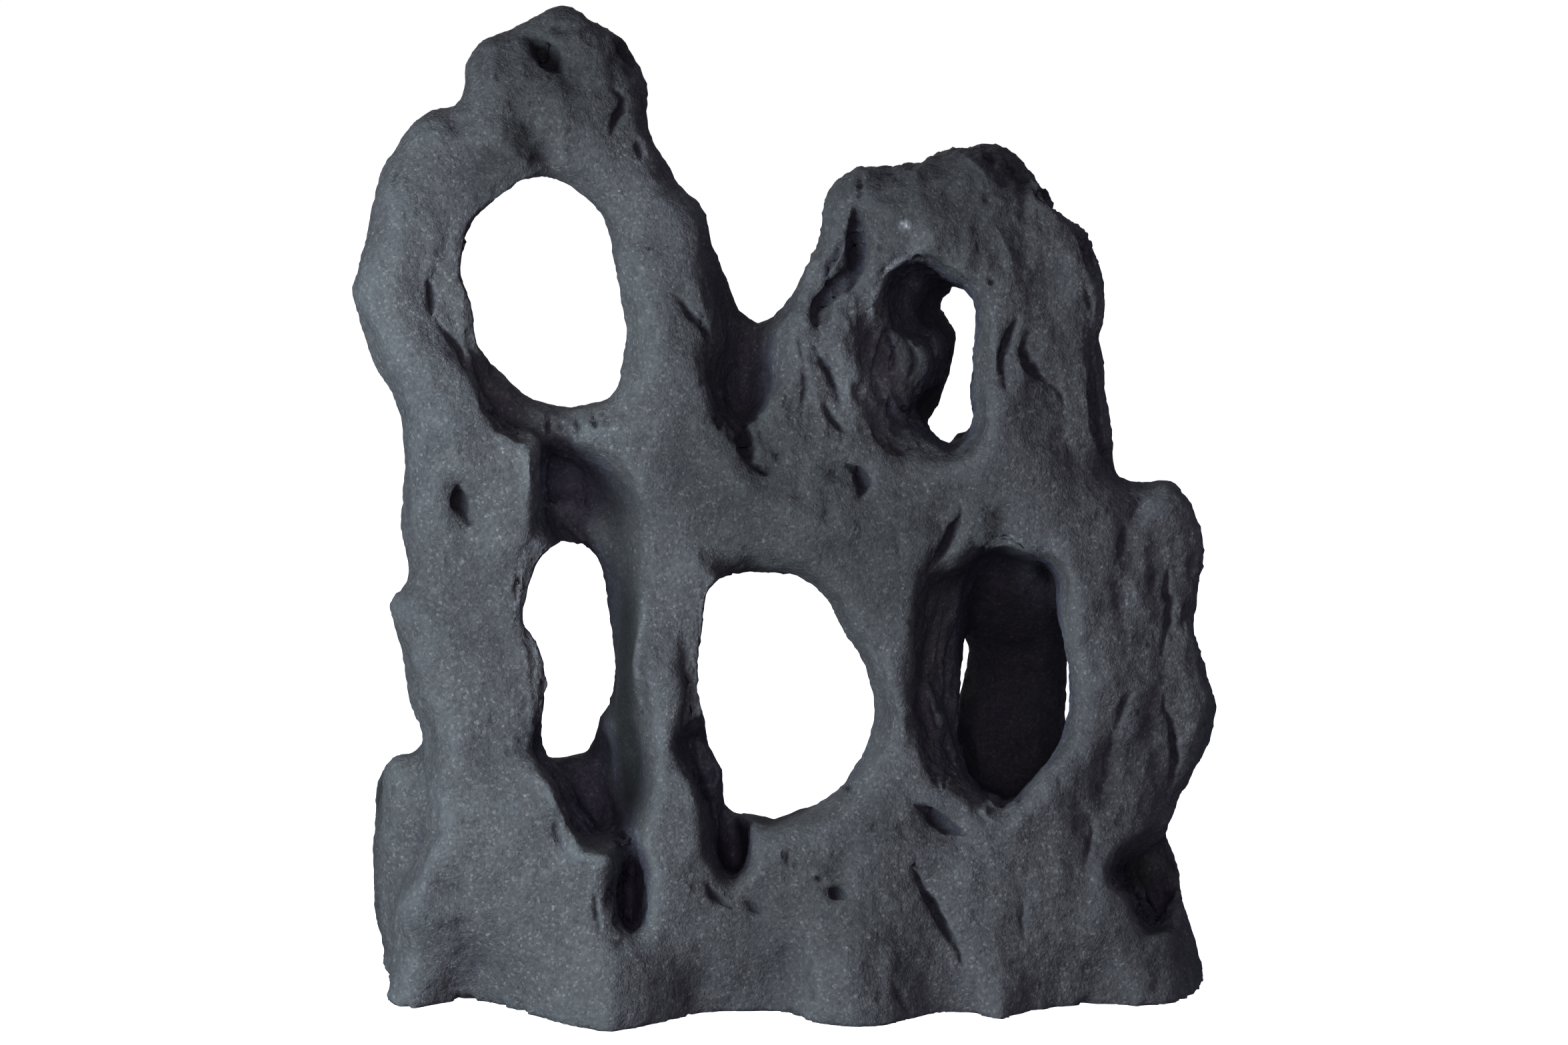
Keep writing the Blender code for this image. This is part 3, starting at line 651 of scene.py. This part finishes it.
def finer_along(piece, details):
    spots, facing = facing_share(piece)
    wider = [(path, half_width + SLIT_MARGIN, 1.0) for path, half_width, _ in details]
    reached = (amount_at(spots, wider, "slit") > 0) & (facing > 0)
    net = bmesh.new()
    net.from_mesh(piece.data)
    net.verts.ensure_lookup_table()
    edges = [edge for edge in net.edges if all(reached[vertex.index] for vertex in edge.verts)]
    bmesh.ops.subdivide_edges(net, edges=edges, cuts=1, use_grid_fill=True)
    net.to_mesh(piece.data)
    net.free()
    print(len(edges), "edges halved along", len(details), "slits")


def carve(piece):
    spots, facing = facing_share(piece)
    sunk = amount_at(spots, FOLDS, "fold") + amount_at(spots, SLITS, "slit")
    put(piece.data, places_of(piece.data) - normals_of(piece.data) * (sunk * facing)[:, None] * MM)
    print(len(FOLDS) + len(SLITS), "details, deepest", round(sunk.max(), 1), "mm")


finer_along(stone, SLITS)
carve(stone)

# %% [markdown]
# ## Fewer triangles, a flat foot and the solid's own box
# The fine net has more triangles than the shape needs on its calm faces. Decimate gives them up there and
# keeps them where the stone bends. The foot is then pressed flat onto the floor, and no point is left outside
# the box of the plain solid.

# %% Finish the shape
MOST_TRIANGLES = 196_000
FOOT_BAND = 2.0
FACING_DOWN = -0.5


def triangle_count(mesh):
    return len(mesh.loops) - 2 * len(mesh.polygons)


def thin_out(piece, most):
    triangles = triangle_count(piece.data)
    thinner = piece.modifiers.new("fewer triangles", "DECIMATE")
    thinner.ratio = min(1.0, most / triangles)
    applied(piece)
    print(triangles, "triangles before,", triangle_count(piece.data), "after")


def settle(piece, box):
    """Presses the foot flat onto the floor, and keeps every point inside the box."""
    places = places_of(piece.data)
    low, high = np.array(box[0]), np.array(box[1])
    normals = normals_of(piece.data)
    underneath = (places[:, 2] < FOOT_BAND * MM) & (normals[:, 2] < FACING_DOWN)
    places[underneath, 2] = 0.0
    put(piece.data, np.clip(places, low, high))


thin_out(stone, MOST_TRIANGLES)
settle(stone, cad_box)
for face in stone.data.polygons:
    face.use_smooth = True

# %% [markdown]
# ## Where dust lies, where the stone is worn and where shade is painted
# A stone isn't one even colour. Dust settles in slits and hollows and worn rims are paler. Shade is painted in
# too:
# slits, hollows and deep recesses are darkened as if shadowed, and listed patches are painted darker as shade
# or paler as light. A material can't look round for such places, so the script does, and keeps four numbers
# for each point: how hollow, how sheltered and how deep in a slit it is, and how dark its patch is. The material
# reads them by name. Painting a picture for it would do too, but a number for each point needs no unwrapping
# and leaves no seams.

# %% How hollow the surface is at each point, from -1 on a rim to 1 in a pit
CALMINGS = 14
FULLY_HOLLOW = 1.6


def mark(mesh, name, values):
    """Keeps one number for each point in the mesh, where a material can read it."""
    layer = mesh.attributes.new(name, "FLOAT", "POINT")
    layer.data.foreach_set("value", values.astype(np.float32))


def mark_hollows(piece):
    """Compares the surface with a smoothed copy of it."""
    smoothed = bmesh.new()
    smoothed.from_mesh(piece.data)
    for _ in range(CALMINGS):
        bmesh.ops.smooth_vert(smoothed, verts=smoothed.verts, factor=1.0, use_axis_x=True, use_axis_y=True,
                              use_axis_z=True)
    calm = np.array([vertex.co for vertex in smoothed.verts])
    smoothed.free()
    below = ((calm - places_of(piece.data)) * normals_of(piece.data)).sum(1) / MM / FULLY_HOLLOW
    mark(piece.data, "hollow", np.clip(below, -1, 1))
    print("hollow from", round(below.min(), 2), "to", round(below.max(), 2))


mark_hollows(stone)

# %% How sheltered each point is, from 0 in the open to 1 deep in a recess
from mathutils.bvhtree import BVHTree

RAYS = 16
REACH = 0.12
GOLDEN_ANGLE = 2.4
SHELTER_ROUNDS = 4


def mark_shelter(piece):
    """Looks out from each point in several directions, and keeps the share that meets other stone."""
    mesh = piece.data
    tree = BVHTree.FromPolygons([v.co for v in mesh.vertices], [f.vertices[:] for f in mesh.polygons])
    turns = np.arange(RAYS) * GOLDEN_ANGLE
    out = np.sqrt((np.arange(RAYS) + 0.5) / RAYS)
    looks = [Vector((r * math.cos(t), r * math.sin(t), math.sqrt(1 - r * r))) for r, t in zip(out, turns)]
    sheltered = np.empty(len(mesh.vertices))
    for index, (place, normal) in enumerate(zip(places_of(mesh), normals_of(mesh))):
        normal = Vector(normal)
        start = Vector(place) + normal * MM
        turn = normal.to_track_quat("Z", "Y")
        sheltered[index] = sum(tree.ray_cast(start, turn @ look, REACH)[0] is not None for look in looks) / RAYS
    sheltered = evened(mesh, sheltered, SHELTER_ROUNDS)
    mark(mesh, "sheltered", sheltered)
    print("a tenth of the points are more than", round(np.quantile(sheltered, 0.9), 2), "sheltered")


mark_shelter(stone)

# %% How deep in a slit each point lies, from 0 to 1
FULLY_DARK = 2.6


def mark_slits(piece):
    spots, facing = facing_share(piece)
    deep = np.clip(amount_at(spots, SLITS, "slit") / FULLY_DARK, 0, 1) * facing
    mark(piece.data, "slit", deep)
    print(int((deep > 0.5).sum()), "points deep in a slit")


mark_slits(stone)

# %% Painted shade, painted light and darker patches: places as across, up, radius and how much darker, and bands along paths
# Partly darker patches of the stone and partly painted shade; the places below zero are painted light.
SHADE_AND_TONE_PLACES = [
    (-86, 343, 9, 0.2), (20, 188, 8, 0.35), (-9, 199, 9, 0.35), (-120, 180, 7, 0.3), (22, 220, 12, -0.2),
    (36, 226, 12, -0.3), (-78, 185, 12, -0.3), (-70, 66, 12, -0.3),
    (-85, 335, 34, 0.52), (50, 290, 40, 0.34), (84, 292, 24, 0.15), (6, 180, 46, 0.25), (-18, 215, 24, 0.25),
    (100, 235, 34, 0.2), (62, 175, 30, 0.22), (-24, 185, 26, 0.38), (36, 148, 24, 0.26),
    (-30, 250, 26, 0.20), (0, 30, 40, 0.28), (-120, 150, 34, 0.28),
    (-44, 115, 18, 0.04), (60, 292, 24, 0.16), (20, 150, 34, 0.10), (30, 20, 30, 0.06), (-135, 90, 34, 0.06),
]
# Bands of painted shade where light doesn't reach the stone; a band below zero is a painted highlight, such as
# the lit lip and the bright spot of the upper right hole.
SHADE_AND_HIGHLIGHT_BANDS = [
    ([(-116, 286), (-108, 300), (-96, 309), (-84, 305)], 13, 0.5),
    ([(-99, 327), (-94, 314), (-88, 303)], 6, 0.25),
    ([(-94, 350), (-86, 342), (-78, 334)], 5, 0.7),
    ([(-60, 98), (-56, 82), (-56, 64), (-58, 50)], 9, 0.6),
    ([(40, 20), (44, 5), (46, -9)], 9, 0.3),
    ([(126, 47), (131, 40), (137, 29)], 12, 0.8),
    ([(46, 243), (50, 233), (47, 221), (43, 211)], 6, 0.45),
    ([(34, 240), (34, 222), (42, 208)], 9, -0.5),
    ([(49, 63), (55, 59), (61, 54)], 2.6, 0.5),
    ([(9, 44), (16, 40), (22, 36)], 5, 0.45),
    ([(88, 38), (87, 20)], 2.4, 0.4),
    ([(134, 18), (136, 8), (137, -2)], 5, 0.4),
    ([(36, 258), (32, 250), (31, 242)], 2.6, -0.9),
    ([(33, 73), (37, 60), (42, 47)], 5, 0.3),
    ([(22, 28), (33, 17), (40, 8)], 8, 0.25),
    ([(-66, 192), (-62, 178), (-59, 166)], 12, 0.35),
    ([(-63, 348), (-58, 333), (-54, 316)], 8, 0.4),
    ([(-64, 184), (-60, 158), (-58.5, 140), (-59, 120), (-60, 104), (-59, 85), (-57, 56)], 13, 0.94),
    ([(-91, 202), (-91, 163)], 4, -1.0),
    ([(-97, 164), (-98, 146), (-96, 136), (-91, 126), (-90, 112), (-90, 98), (-88, 80)], 6, -0.9),
    ([(79, 180), (77, 169), (73, 159)], 7, 0.6),
    ([(70, 160), (64, 152), (58, 144)], 7, 0.5),
    ([(33, 251), (35, 258), (38, 264), (43, 268.5), (50, 271.5)], 2.0, -3.0),
    ([(43.5, 281.5), (45.5, 279.5)], 2.6, -5.0),
    ([(44, 278), (55, 276)], 7, -0.7),
    ([(-51, 145), (-53, 130), (-55, 118), (-54, 108), (-52, 99)], 1.8, -0.9),
    ([(80, 306), (86, 299), (90, 293)], 8, 0.35),
    ([(28, 284), (26, 268), (16, 254), (14, 240)], 6, 0.25),
]

# %% How dark each point is, painted shade and light included: 1 where the stone has its own colour
DARKEST_SHADE_BAND = 0.06
DEEP_FROM, DEEP_OVER, DEEP_WALL_SHADE = 4.0, 16.0, 0.75


def mark_tones_and_painted_light(piece):
    """Adds the places and bands of painted shade and light, and painted shade on walls that lie deep behind the
    stone's middle inside a hole.
    """
    _, facing = facing_share(piece)
    spots, _ = seen_from_eye(places_of(piece.data))
    tone = np.ones(len(spots))
    for across, up, radius, darker in SHADE_AND_TONE_PLACES:
        tone *= 1 - darker * np.exp(-((spots - (across, up)) ** 2).sum(1) / radius**2)
    tone *= np.maximum(1 - amount_at(spots, SHADE_AND_HIGHLIGHT_BANDS, "band"), DARKEST_SHADE_BAND)
    # painted shade: walls deep inside the holes are darkened as if the light didn't reach them
    deep = smooth_step((places_of(piece.data)[:, 1] / MM - DEEP_FROM) / DEEP_OVER)
    tone *= 1 - DEEP_WALL_SHADE * deep * facing
    mark(piece.data, "tone", tone)
    print("darkest tone", round(tone.min(), 2))


mark_tones_and_painted_light(stone)

# %% [markdown]
# ## Sand-coated stone
# The stone is charcoal grey and fully matt. Its coat is fine dark sand, like silica sand bonded with resin:
# grains well under a millimetre wide, most nearly black, some grey, and one in fourteen pale quartz that
# catches the light. Hollows and slits are mixed towards a purple-black that stands partly for dust and partly
# for painted shade, deep recesses get a painted blue-black shade, and worn rims are rubbed paler. The colour is
# built as a stack of shades that are multiplied: each noise has one job, and its strength is set on its own.

# %% Colours and a helper that adds a node
def linear(hex_colour):
    """An sRGB hex colour as the linear values that a shader wants."""
    channels = [int(hex_colour[i:i + 2], 16) / 255 for i in (1, 3, 5)]
    return [c / 12.92 if c <= 0.04045 else ((c + 0.055) / 1.055) ** 2.4 for c in channels] + [1.0]


def add(tree, kind, links=(), stops=(), **settings):
    """Adds a node. A setting names a property, or an input by its name or number, as in {"inputs": {...}}."""
    node = tree.nodes.new(kind)
    inputs = settings.pop("inputs", {})
    for name, value in settings.items():
        setattr(node, name, value)
    for name, value in inputs.items():
        node.inputs[name].default_value = value
    for name, source in dict(links).items():
        tree.links.new(source, node.inputs[name])
    for position, colour in stops[1:-1]:
        node.color_ramp.elements.new(position)
    for index, (position, colour) in enumerate(stops):
        node.color_ramp.elements[index].position = position
        node.color_ramp.elements[index].color = colour
    return node


# %% Sizes in the coat, in mm, and its colours
# Real sand of this kind is about 0.5 mm wide, too fine to show here, so both sizes of grain are drawn coarser.
GRAIN, COARSE_GRAIN = 0.85, 1.25
GRIT, CLUMP, PATCH = 2.2, 4.5, 38.0
NICK_SPACING, NICK_WANDER, NICK_WANDER_SIZE = 6.0, 3.0, 5.0
PALE_STONE, STONE, DARK_STONE = "#474749", "#424143", "#3d3c3f"
# A purple-black, partly dust and partly painted shade for hollows and slits
DUST_AND_SHADE = "#1b1925"
WORN = "#5e6265"


def per_metre(size):
    """How many things of a size in mm go in a metre, which is the scale that a noise asks for."""
    return 1 / (size * MM)


# %% Stone in broad patches, in clumps, and sand of two sizes
def coat_shades(tree, where):
    patches = add(tree, "ShaderNodeTexNoise", {"Vector": where},
                  inputs={"Scale": per_metre(PATCH), "Detail": 3.0, "Roughness": 0.55})
    stone_colour = add(tree, "ShaderNodeValToRGB", {"Fac": patches.outputs["Fac"]},
                       [(0.32, linear(DARK_STONE)), (0.5, linear(STONE)), (0.68, linear(PALE_STONE))])

    clumps = add(tree, "ShaderNodeTexNoise", {"Vector": where},
                 inputs={"Scale": per_metre(CLUMP), "Detail": 4.0, "Roughness": 0.7})
    clump_shade = add(tree, "ShaderNodeValToRGB", {"Fac": clumps.outputs["Fac"]},
                      [(0.3, (0.82, 0.82, 0.83, 1)), (0.5, (1, 1, 1, 1)), (0.72, (1.15, 1.15, 1.14, 1))])

    grains = add(tree, "ShaderNodeTexVoronoi", {"Vector": where}, inputs={"Scale": per_metre(GRAIN)})
    grain_pick = add(tree, "ShaderNodeSeparateColor", {"Color": grains.outputs["Color"]})
    grain_shade = add(tree, "ShaderNodeValToRGB", {"Fac": grain_pick.outputs["Red"]},
                      [(0.0, (0.82, 0.82, 0.83, 1)), (0.45, (0.95, 0.95, 0.96, 1)), (0.86, (1.06, 1.06, 1.05, 1)),
                       (0.93, (1.25, 1.25, 1.23, 1)), (0.985, (1.8, 1.8, 1.76, 1))])

    coarse = add(tree, "ShaderNodeTexVoronoi", {"Vector": where}, inputs={"Scale": per_metre(COARSE_GRAIN)})
    coarse_pick = add(tree, "ShaderNodeSeparateColor", {"Color": coarse.outputs["Color"]})
    coarse_shade = add(tree, "ShaderNodeValToRGB", {"Fac": coarse_pick.outputs["Green"]},
                       [(0.0, (0.8, 0.8, 0.81, 1)), (0.5, (0.97, 0.97, 0.97, 1)), (0.9, (1.12, 1.12, 1.11, 1)),
                        (0.98, (1.4, 1.4, 1.38, 1))])
    return clumps, grains, grain_pick, [stone_colour, clump_shade, grain_shade, coarse_shade]


# %% Nicks: small upright chips, some large and many that are missing
def nick_heights(tree, where):
    wander = add(tree, "ShaderNodeTexNoise", {"Vector": where},
                 inputs={"Scale": per_metre(NICK_WANDER_SIZE), "Detail": 1.0})
    wandering = add(tree, "ShaderNodeVectorMath", {0: wander.outputs["Color"]}, operation="SCALE",
                    inputs={"Scale": NICK_WANDER * MM})
    moved = add(tree, "ShaderNodeVectorMath", {0: where, 1: wandering.outputs["Vector"]})
    upright = add(tree, "ShaderNodeMapping", {"Vector": moved.outputs["Vector"]}, inputs={"Scale": (1, 1, 0.5)})
    nicks = add(tree, "ShaderNodeTexVoronoi", {"Vector": upright.outputs["Vector"]},
                inputs={"Scale": per_metre(NICK_SPACING)})
    nick_pick = add(tree, "ShaderNodeSeparateColor", {"Color": nicks.outputs["Color"]})
    nick_size = add(tree, "ShaderNodeMapRange", {"Value": nick_pick.outputs["Blue"]},
                    inputs={"From Min": 0.45, "From Max": 1.0, "To Min": 0.0, "To Max": 0.24})
    nick_edge = add(tree, "ShaderNodeMath", {0: nicks.outputs["Distance"], 1: nick_size.outputs["Result"]},
                    operation="SUBTRACT")
    return add(tree, "ShaderNodeMapRange", {"Value": nick_edge.outputs["Value"]},
               inputs={"From Min": -0.14, "From Max": 0.03, "To Min": 0.0, "To Max": 1.0})


# %% Dust and painted shade in hollows and slits, wear, and tone with painted shade, from the numbers that the mesh keeps
def marked(tree, name):
    return add(tree, "ShaderNodeAttribute", attribute_name=name).outputs["Fac"]


def dusted_and_shaded(tree, colour):
    # painted shade: pits and slits are mixed towards the purple-black as if in shadow, partly dust as well; rims
    # are paler from wear
    dust_and_pit_shade = add(tree, "ShaderNodeMapRange", {"Value": marked(tree, "hollow")},
                inputs={"From Min": 0.05, "From Max": 0.9, "To Min": 0.0, "To Max": 0.35})
    worn = add(tree, "ShaderNodeMapRange", {"Value": marked(tree, "hollow")},
               inputs={"From Min": -0.3, "From Max": -1.0, "To Min": 0.0, "To Max": 0.15})
    slit_shade = add(tree, "ShaderNodeMapRange", {"Value": marked(tree, "slit")},
                 inputs={"From Min": 0.15, "From Max": 0.8, "To Min": 0.0, "To Max": 0.7})
    for share, tint in ((dust_and_pit_shade, DUST_AND_SHADE), (worn, WORN), (slit_shade, DUST_AND_SHADE)):
        mixed = add(tree, "ShaderNodeMix", {0: share.outputs["Result"], 6: colour}, data_type="RGBA",
                    inputs={7: linear(tint)})
        colour = mixed.outputs[2]
    # painted shade and light: the tone multiplies in the listed shade, highlights and darker patches
    toned_and_shaded = add(tree, "ShaderNodeMix", {6: colour, 7: marked(tree, "tone")}, data_type="RGBA",
                blend_type="MULTIPLY", inputs={0: 1.0})
    return toned_and_shaded.outputs[2]


# %% Relief too fine for the mesh: domed grains, grit, nicks and clumps
def relief(tree, where, clumps, grains, nick_height):
    grit = add(tree, "ShaderNodeTexNoise", {"Vector": where},
               inputs={"Scale": per_metre(GRIT), "Detail": 3.0, "Roughness": 0.75})
    domes = add(tree, "ShaderNodeBump", {"Height": grains.outputs["Distance"]}, invert=True,
                inputs={"Strength": 0.6, "Distance": 0.25 * MM})
    normal = domes.outputs["Normal"]
    for height, strength, distance in ((grit.outputs["Fac"], 0.8, 0.8), (nick_height.outputs["Result"], 0.7, 0.5),
                                       (clumps.outputs["Fac"], 0.6, 0.9)):
        bump = add(tree, "ShaderNodeBump", {"Height": height, "Normal": normal},
                   inputs={"Strength": strength, "Distance": distance * MM})
        normal = bump.outputs["Normal"]
    return normal


# %% The material
def sand_coated_stone():
    material = bpy.data.materials.new("sand-coated stone")
    material.use_nodes = True
    tree = material.node_tree
    shader = tree.nodes["Principled BSDF"]
    where = add(tree, "ShaderNodeTexCoord").outputs["Object"]

    clumps, grains, grain_pick, shades = coat_shades(tree, where)
    nick_height = nick_heights(tree, where)
    shades.append(add(tree, "ShaderNodeValToRGB", {"Fac": nick_height.outputs["Result"]},
                      [(0.0, (0.62, 0.61, 0.64, 1)), (1.0, (1, 1, 1, 1))]))
    # painted shade: points deep in a recess are darkened to near black and tinted blue, as shade looks there
    shades.append(add(tree, "ShaderNodeValToRGB", {"Fac": marked(tree, "sheltered")},
                      [(0.5, (1, 1, 1, 1)), (0.7, (1.07, 1.06, 1.3, 1)), (0.82, (1.04, 1.02, 1.35, 1)),
                       (0.97, (0.2, 0.18, 0.27, 1))]))
    colour = shades[0].outputs["Color"]
    for shade in shades[1:]:
        mixed = add(tree, "ShaderNodeMix", {6: colour, 7: shade.outputs["Color"]}, data_type="RGBA",
                    blend_type="MULTIPLY", inputs={0: 1.0})
        colour = mixed.outputs[2]
    tree.links.new(dusted_and_shaded(tree, colour), shader.inputs["Base Color"])

    gloss = add(tree, "ShaderNodeMapRange", {"Value": grain_pick.outputs["Green"]},
                inputs={"From Min": 0.0, "From Max": 1.0, "To Min": 0.98, "To Max": 0.72})
    tree.links.new(gloss.outputs["Result"], shader.inputs["Roughness"])
    shader.inputs["IOR"].default_value = 1.46
    shader.inputs["Specular IOR Level"].default_value = 0.35
    tree.links.new(relief(tree, where, clumps, grains, nick_height), shader.inputs["Normal"])
    print(material.name, "has", len(tree.nodes), "nodes")
    return material


stone.data.materials.clear()
stone.data.materials.append(sand_coated_stone())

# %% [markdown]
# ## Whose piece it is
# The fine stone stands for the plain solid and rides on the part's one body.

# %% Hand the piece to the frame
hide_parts("rock")
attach(stone, "root")
print(stone.name, "stands for the solid rock and rides on the body root")

# %% [markdown]
# ## Floor and light
# Small dark things are often shown on a light table: a sheet of white acrylic that glows from below,
# so that nothing casts a dark shadow on it. The floor here is such a sheet. It is kept out of the light that
# bounces onto the stone, so that the stone's undersides stay dark. One soft light close by on the left, at the
# height of the stone, makes the left side bright and leaves the right side dim. A wider one, further off in
# front, fills the right side, and a third one behind gives the back and the walls of the holes a little light.

# %% Floor
FLOOR_RADIUS = 14.0
GLOW = 1.05

floor_mesh = bmesh.new()
bmesh.ops.create_circle(floor_mesh, cap_ends=True, segments=96, radius=FLOOR_RADIUS)
floor_data = bpy.data.meshes.new("floor")
floor_mesh.to_mesh(floor_data)
floor_mesh.free()
floor = linked("floor", floor_data)
glowing = bpy.data.materials.new("white acrylic light table")
glowing.use_nodes = True
acrylic = glowing.node_tree.nodes["Principled BSDF"]
acrylic.inputs["Base Color"].default_value = linear("#f2f2f2")
acrylic.inputs["Roughness"].default_value = 0.8
acrylic.inputs["Emission Color"].default_value = linear("#ffffff")
acrylic.inputs["Emission Strength"].default_value = GLOW
floor.data.materials.append(glowing)
floor.visible_diffuse = False
floor.visible_glossy = False
print("floor", 2 * FLOOR_RADIUS, "m across")

# %% Lights
def soft_light(name, place, aim, size, watts, colour):
    """A round soft light at a place, in metres, turned to a point of the stone."""
    data = bpy.data.lights.new(name, "AREA")
    data.shape = "DISK"
    data.size = size
    data.energy = watts
    data.color = linear(colour)[:3]
    lamp = bpy.data.objects.new(name, data)
    lamp.location = place
    lamp.visible_camera = False
    lamp.rotation_euler = (Vector(aim) - Vector(place)).to_track_quat("-Z", "Y").to_euler()
    bpy.context.scene.collection.objects.link(lamp)
    print(name, watts, "W")


soft_light("light on the left", (-0.42, -0.44, 0.20), (-0.05, 0, 0.17), 0.3, 6.6, "#e5f8fe")
soft_light("light in front", (-0.15, -1.8, 0.55), (0, 0, 0.15), 0.8, 14, "#efe5ed")
soft_light("light behind", (-0.3, 1.4, 1.0), (0, 0, 0.2), 1.0, 5, "#ffffff")

# %% The room: white to look at, and a dim bluish light on the stone
world = bpy.data.worlds.new("white room")
world.use_nodes = True
room = world.node_tree
dim = room.nodes["Background"]
dim.inputs["Color"].default_value = linear("#d0d4f8")
dim.inputs["Strength"].default_value = 0.2
white = add(room, "ShaderNodeBackground", inputs={"Color": (1, 1, 1, 1), "Strength": 1.0})
looked_at = add(room, "ShaderNodeLightPath").outputs["Is Camera Ray"]
shown = add(room, "ShaderNodeMixShader", {0: looked_at, 1: dim.outputs[0], 2: white.outputs[0]})
room.links.new(shown.outputs[0], room.nodes["World Output"].inputs["Surface"])
bpy.context.scene.world = world
bpy.context.scene.view_settings.view_transform = "Standard"
print("the room's light on the stone:", round(dim.inputs["Strength"].default_value, 2))
